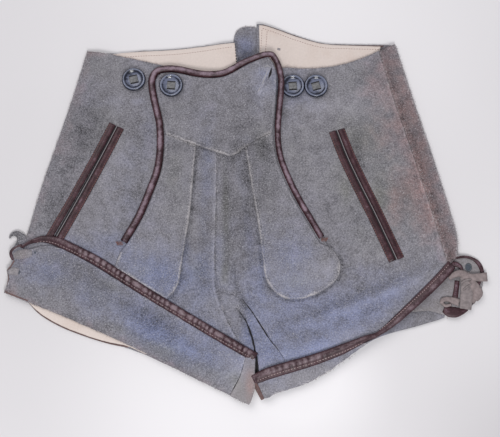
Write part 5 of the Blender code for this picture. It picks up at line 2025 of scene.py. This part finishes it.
VENT_TRIMS = (
    # name, marks, width at each mark, how high it starts, how rubbed
    ("tab", (
        (185.5, -40), (190, -38.9), (196, -38.2), (202, -39.6), (207, -43), (210, -48), (211.2, -53.5),
    ), (2.0, 2.2, 2.2, 2.6, 3.6, 3.8, 3.4), 0.2, 0.5),
    ("low", (
        (175, -85.4), (180, -87.6), (186, -88.0), (191.6, -87.0), (196.6, -85.4),
    ), (5.0, 9.4, 9.4, 6.2, 2.4), 0.2, 0.5),
    ("side", ((205.6, -66), (204, -72.5), (200.6, -78.5), (196.6, -83.6)), (2.2, 3.8, 4.4, 2.8), 0.2, 0.5),
    ("inner", ((188, -60), (187, -67), (185.4, -75.5)), (4.6, 4.6, 5.4), 0.2, 0.55),
    ("edge", ((208.4, -57), (207.8, -61), (206.8, -64)), (4.0, 3.6, 2.4), 0.2, 0.5),
    ("twist", ((181, -46.3), (186.5, -45.2), (191, -47.6), (192.6, -51)), (4.4, 4.8, 4.0, 2.4), 1.6, 0.6),
)
for label, marks, across, rise, rubbed in VENT_TRIMS:
    sweep(
        f"binding_vent_{label}", Path(marks), tapered(*across), 1.1, raised(rise), binding, "brown_binding",
        *solid_named(f"vent_{label}_binding"), spacing=0.7, skirt=0.2, wear=rubbed,
    )

# %% Thongs of the right vent
RIGHT_LACES = (
    # name, marks, width at each mark, how high it starts, leather
    ("loop", (
        (173, -80.6), (174.5, -77.2), (179.5, -76.6), (186, -78.6), (189, -79.6),
    ), (3.2, 4.0, 4.6, 6.4, 6.4), 1.3, thong_leather),
    ("loop_under", ((173.6, -80), (177, -82.4), (182, -81.2)), (2.4, 2.8, 2.4), 1.0, thong_leather),
    ("down", (
        (195.6, -56.5), (196.6, -65), (195.6, -75), (194.2, -85.4),
    ), (10.6, 12.0, 11.8, 10.4), 2.1, thong_grey),
    ("across", (
        (180.4, -58.6), (185, -55), (191, -53.8), (197, -56.2), (205, -57), (214.6, -56.6),
    ), (3.4, 5.6, 7.2, 6.0, 7.4, 8.2), 3.0, thong_leather),
    ("knot", (
        (199.4, -59.5), (203.4, -65.5), (206, -71.5), (203.4, -77.4),
    ), (6.4, 8.4, 9.0, 4.4), 2.6, thong_leather),
    ("end", ((206.6, -65.5), (204.6, -71.5), (201, -79.5)), (5.8, 6.0, 4.0), 1.6, thong_leather),
    ("fold", ((190.6, -62.4), (195, -59.8), (200.6, -58.8)), (1.6, 2.2, 1.6), 3.6, thong_grey),
    ("pleat", ((192.4, -68.4), (196.4, -65.4), (200.4, -62.8)), (1.2, 1.8, 1.2), 3.3, thong_grey),
)
for label, marks, across, rise, leather in RIGHT_LACES:
    sweep(
        f"thong_right_{label}", Path(marks), tapered(*across), 1.1, raised(rise), leather, "thong",
        *solid_named(f"lace_right_{label}"), spacing=0.6, wear=0.3,
        ruche=ridges(5.0, 0.3, seed=len(label) * 1.7),
    )

# %% Eyelet in the vent tab
EYELET_AT = np.array([198.6, -47.6])
EYELET_RINGS = ((3.7, 0.0), (3.6, 0.5), (2.9, 0.75), (2.2, 0.5), (2.0, 0.0))     # radius, height
EYELET_SIDES, EYELET_SQUEEZE = 40, 0.85
HOLE_HALF, HOLE_WIDTH = 2.0, 3.8

rings = len(EYELET_RINGS)
base = float(tab_roof(EYELET_AT[None])[0])
points, faces = [], []
for k in range(EYELET_SIDES):
    angle = 2 * math.pi * k / EYELET_SIDES
    n = (k + 1) % EYELET_SIDES
    for j, (radius, height) in enumerate(EYELET_RINGS):
        away = (EYELET_SQUEEZE * radius * math.cos(angle), radius * math.sin(angle))
        points.append((EYELET_AT[0] + away[0], EYELET_AT[1] + away[1], height + base))
        m = (j + 1) % rings
        faces.append([rings * k + j, rings * n + j, rings * n + m, rings * k + m])
stands_for(build("eyelet_vent_tab", points, faces, eyelet_metal, angle=70), "horn")
# the eyelet's hole is a dark patch of painted shadow
hole_line = Path((EYELET_AT + (0, HOLE_HALF), EYELET_AT - (0, HOLE_HALF)), smooth=False)
sweep("hole_vent_tab", hole_line, HOLE_WIDTH, 0.05, tab_roof, painted_hole_shadow, "horn", spacing=0.4, skirt=0.05)

# %% [markdown]
# ## Buttonhole
# The open corner of the flap has an empty buttonhole: a slit with worn, stitched lips.

# %% Buttonhole
hole = Path(((22.9, 134.2), (22.1, 129.6), (20.3, 124.4)))
on_yoke = top_of(yoke)
# the buttonhole's slit is a dark strip of painted shadow
sweep(
    "slit_buttonhole", hole, lambda share: 0.4 + 1.7 * np.sin(np.pi * share), 0.05, on_yoke, painted_slit_shadow,
    "suede", spacing=0.5, skirt=0.1,
)
SCRATCHES = (
    ((20.2, 133.6), (17.6, 127.0), (14.2, 118.6)),
    ((22.6, 134.8), (19.0, 136.2), (16.4, 134.6)),
    ((12.6, 116.2), (10.4, 111.6)),
)
for number, marks in enumerate(SCRATCHES, start=1):
    sweep(
        f"slit_buttonhole_rub_{number}", Path(marks), lambda share: 0.3 + 0.5 * np.sin(np.pi * share),
        0.05, on_yoke, thread_suede, "suede", spacing=0.5, skirt=0.1,
    )
for sign, label in ((-1, "right"), (1, "left")):
    stitch_row(
        f"stitches_buttonhole_{label}", hole.moved(sign * 1.5), on_yoke, thread_suede, "suede",
        1.4, 1.1, width=0.5, lift=0.2,
    )

# %% [markdown]
# ## Bartacks and a bound end
# Where the piping ends, a few strong stitches in orange-brown thread hold it.  The inner end of the
# right leg is edged with a narrow brown strip, which lies on the turn-up.

# %% Bartacks
BARTACK_THREADS, BARTACK_PITCH = 5, 1.3
for label, spot, lean in (("left", (-113.0, -26.4), 0.9), ("right", (69.8, -22.8), -0.9)):
    starts, ends = [], []
    for number in range(BARTACK_THREADS):
        away = (number - 2) * BARTACK_PITCH
        starts.append((spot[0] + away - lean, spot[1] + 1.6))
        ends.append((spot[0] + away * 0.8 + lean, spot[1] - 2.6 - 0.4 * (number % 2)))
    threads(
        f"bartack_{label}", starts, ends, lambda xy: flap_floor(xy) + SUEDE, thread_orange,
        "brown_binding", width=0.8, lift=0.45, sink=0.6,
    )
    print(f"bartack_{label}: {len(starts)} threads")

# %% Binding down the inner end of the right leg
inner_end = Path(((6.6, -149.6), (9.6, -154.4), (12.3, -160), (14.6, -164.4)))
on_turnup = top_of(turnup)
sweep(
    "binding_leg_right_end", inner_end, lambda share: 4.4 - 1.4 * share, 0.8,
    lambda xy: np.maximum(on_turnup(xy), FOLD_FLOOR + 1.4), cut_edge, "brown_binding", spacing=0.7,
)

# %% [markdown]
# ## Loose fibres
# Cut suede never has a clean edge: short pale fibres stand out of it.  A hair system would be more
# than so few need, so they are thin threads.  Their seed is fixed, so they fall in the same places
# on every run.

# %% Loose fibres
chance = np.random.default_rng(7)


def fuzz(name, path, outward, height, per_mm=1.6, reach=1.5):
    """Short fibres out of a cut edge."""
    count = int(path.length * per_mm)
    share = chance.random(count)
    side = path.side(share) * outward
    along = np.stack([side[:, 1], -side[:, 0]], 1)
    starts = path.at(share) - 0.4 * side
    lean = chance.normal(0, 0.7, (count, 1))
    ends = starts + (side + lean * along) * (0.5 + reach * chance.random((count, 1)) ** 2)
    print(f"{name}: {count} fibres")
    return threads(name, starts, ends, height, fuzz_hair, "suede", width=0.22, lift=0.1, sink=-0.1)


def flat_at(height):
    """The same height everywhere."""
    return lambda xy: np.full(len(xy), height)


BACK_EDGE_LEFT = ((-118, 149.6), (-105, 151.9), (-66, 154.2), (-38, 157.5), (-11, 160.8))
BACK_EDGE_RIGHT = ((10, 179.3), (15, 179.2), (32, 173.7), (67, 162.2), (92, 160.2), (136, 159.8))
FUZZY = (
    # name, marks, which side is outside, height
    ("side_left", SIDE_LEFT, -1, lambda xy: front_floor(xy) + 1.0),
    ("waist_left", WAIST_LEFT, 1, lambda xy: front_floor(xy) + 1.6),
    ("waist_right", WAIST_RIGHT, 1, lambda xy: front_floor(xy) + 1.6),
    ("side_right", FOLD_RIGHT, 1, flat_at(3.4)),
    ("vent_right", VENT_RIGHT, 1, flat_at(2.6)),
    ("cuff_fold", CUFF_FOLD_LEFT, -1, flat_at(4.4)),
    ("turnup", TURNUP_FOLD, 1, flat_at(4.4)),
    ("waist_back_left", BACK_EDGE_LEFT, 1, flat_at(1.4)),
    ("waist_back_right", BACK_EDGE_RIGHT, 1, flat_at(1.4)),
    ("tongue", ((-11.5, 168), (-8.5, 175), (-2, 178), (9, 177.5)), 1, flat_at(1.0)),
    ("cuff_end", ((7, -155), (2, -168), (-14, -161)), 1, flat_at(4.4)),
)
for label, marks, outward, height in FUZZY:
    fuzz(f"fuzz_{label}", Path(marks), outward, height)

# %% [markdown]
# ## What is cloth
# Every panel is listed as a sheet, with what it lies on, how it is held, and the beginnings of the
# names of the narrow trims and stitches that are sewn to it.  The trims are found by how their names
# begin and counted, and the size each panel was cut to is read back from it.

# %% Sheets
LAID = (
    # panel, what it rests on, how it is held, beginnings of the names of what is sewn to it
    (back_left, ("floor",), "laid", ("fuzz_waist_back_left", "edge_waist_left", "edge_hem_left")),
    (back_right, ("floor",), "folded", (
        "fuzz_waist_back_right", "fuzz_side_right", "fuzz_vent_right", "edge_waist_right",
    )),
    (tongue, ("floor",), "laid", ("fuzz_tongue",)),
    (facings[0], (back_left,), "laid", ("stitches_facing_left", "stitches_slit_left")),
    (facings[1], (back_right,), "laid", (
        "stitches_facing_right", "stitches_facing_slit", "stitches_facing_faint", "mark_facing",
    )),
    (facings[2], (back_left,), "laid", ()),
    (front_left, (back_left,), "laid", (
        "fuzz_side_left", "fuzz_waist_left", "binding_pocket_left", "slit_left",
        "stitches_pocket_left", "bartack_left",
    )),
    (front_right, (back_right,), "laid", (
        "fuzz_waist_right", "binding_pocket_right", "slit_right",
        "stitches_pocket_right", "bartack_right",
    )),
    (gussets[0], (back_left,), "laid", ("gap_legs",)),
    (gussets[1], (back_right,), "laid", ("gap_thigh",)),
    (crotch_stay, (back_left, back_right), "laid", ()),
    (yoke, (front_left, front_right), "laid", (
        "binding_flap_piping", "stitches_yoke", "slit_buttonhole", "stitches_buttonhole",
    )),
    (panels[0], (front_left,), "laid", ("stitches_lobe_left",)),
    (panels[1], (front_right,), "laid", ("stitches_lobe_right",)),
    (cuff_left, (front_left,), "folded", (
        "binding_cuff_left", "stitches_cuff_left", "fuzz_cuff_fold", "edge_cuff_end",
        "hole_left_vent", "notch_left_vent",
    )),
    (cuff_end, (gussets[0],), "laid", ("fuzz_cuff_end",)),
    (turnup, (front_right,), "folded", (
        "binding_cuff_right", "stitches_cuff_right", "binding_leg_right_end", "fuzz_turnup",
    )),
    (vent_tab, (back_right,), "laid", ("binding_vent",)),
)
sewn = 0
for panel, below, held, beginnings in LAID:
    trims = [trim for trim in bpy.data.objects if beginnings and trim.name.startswith(beginnings)]
    sewn += len(trims)
    width, length, area = panel["cut"]
print(len(LAID), "sheets with", sewn, "trims")
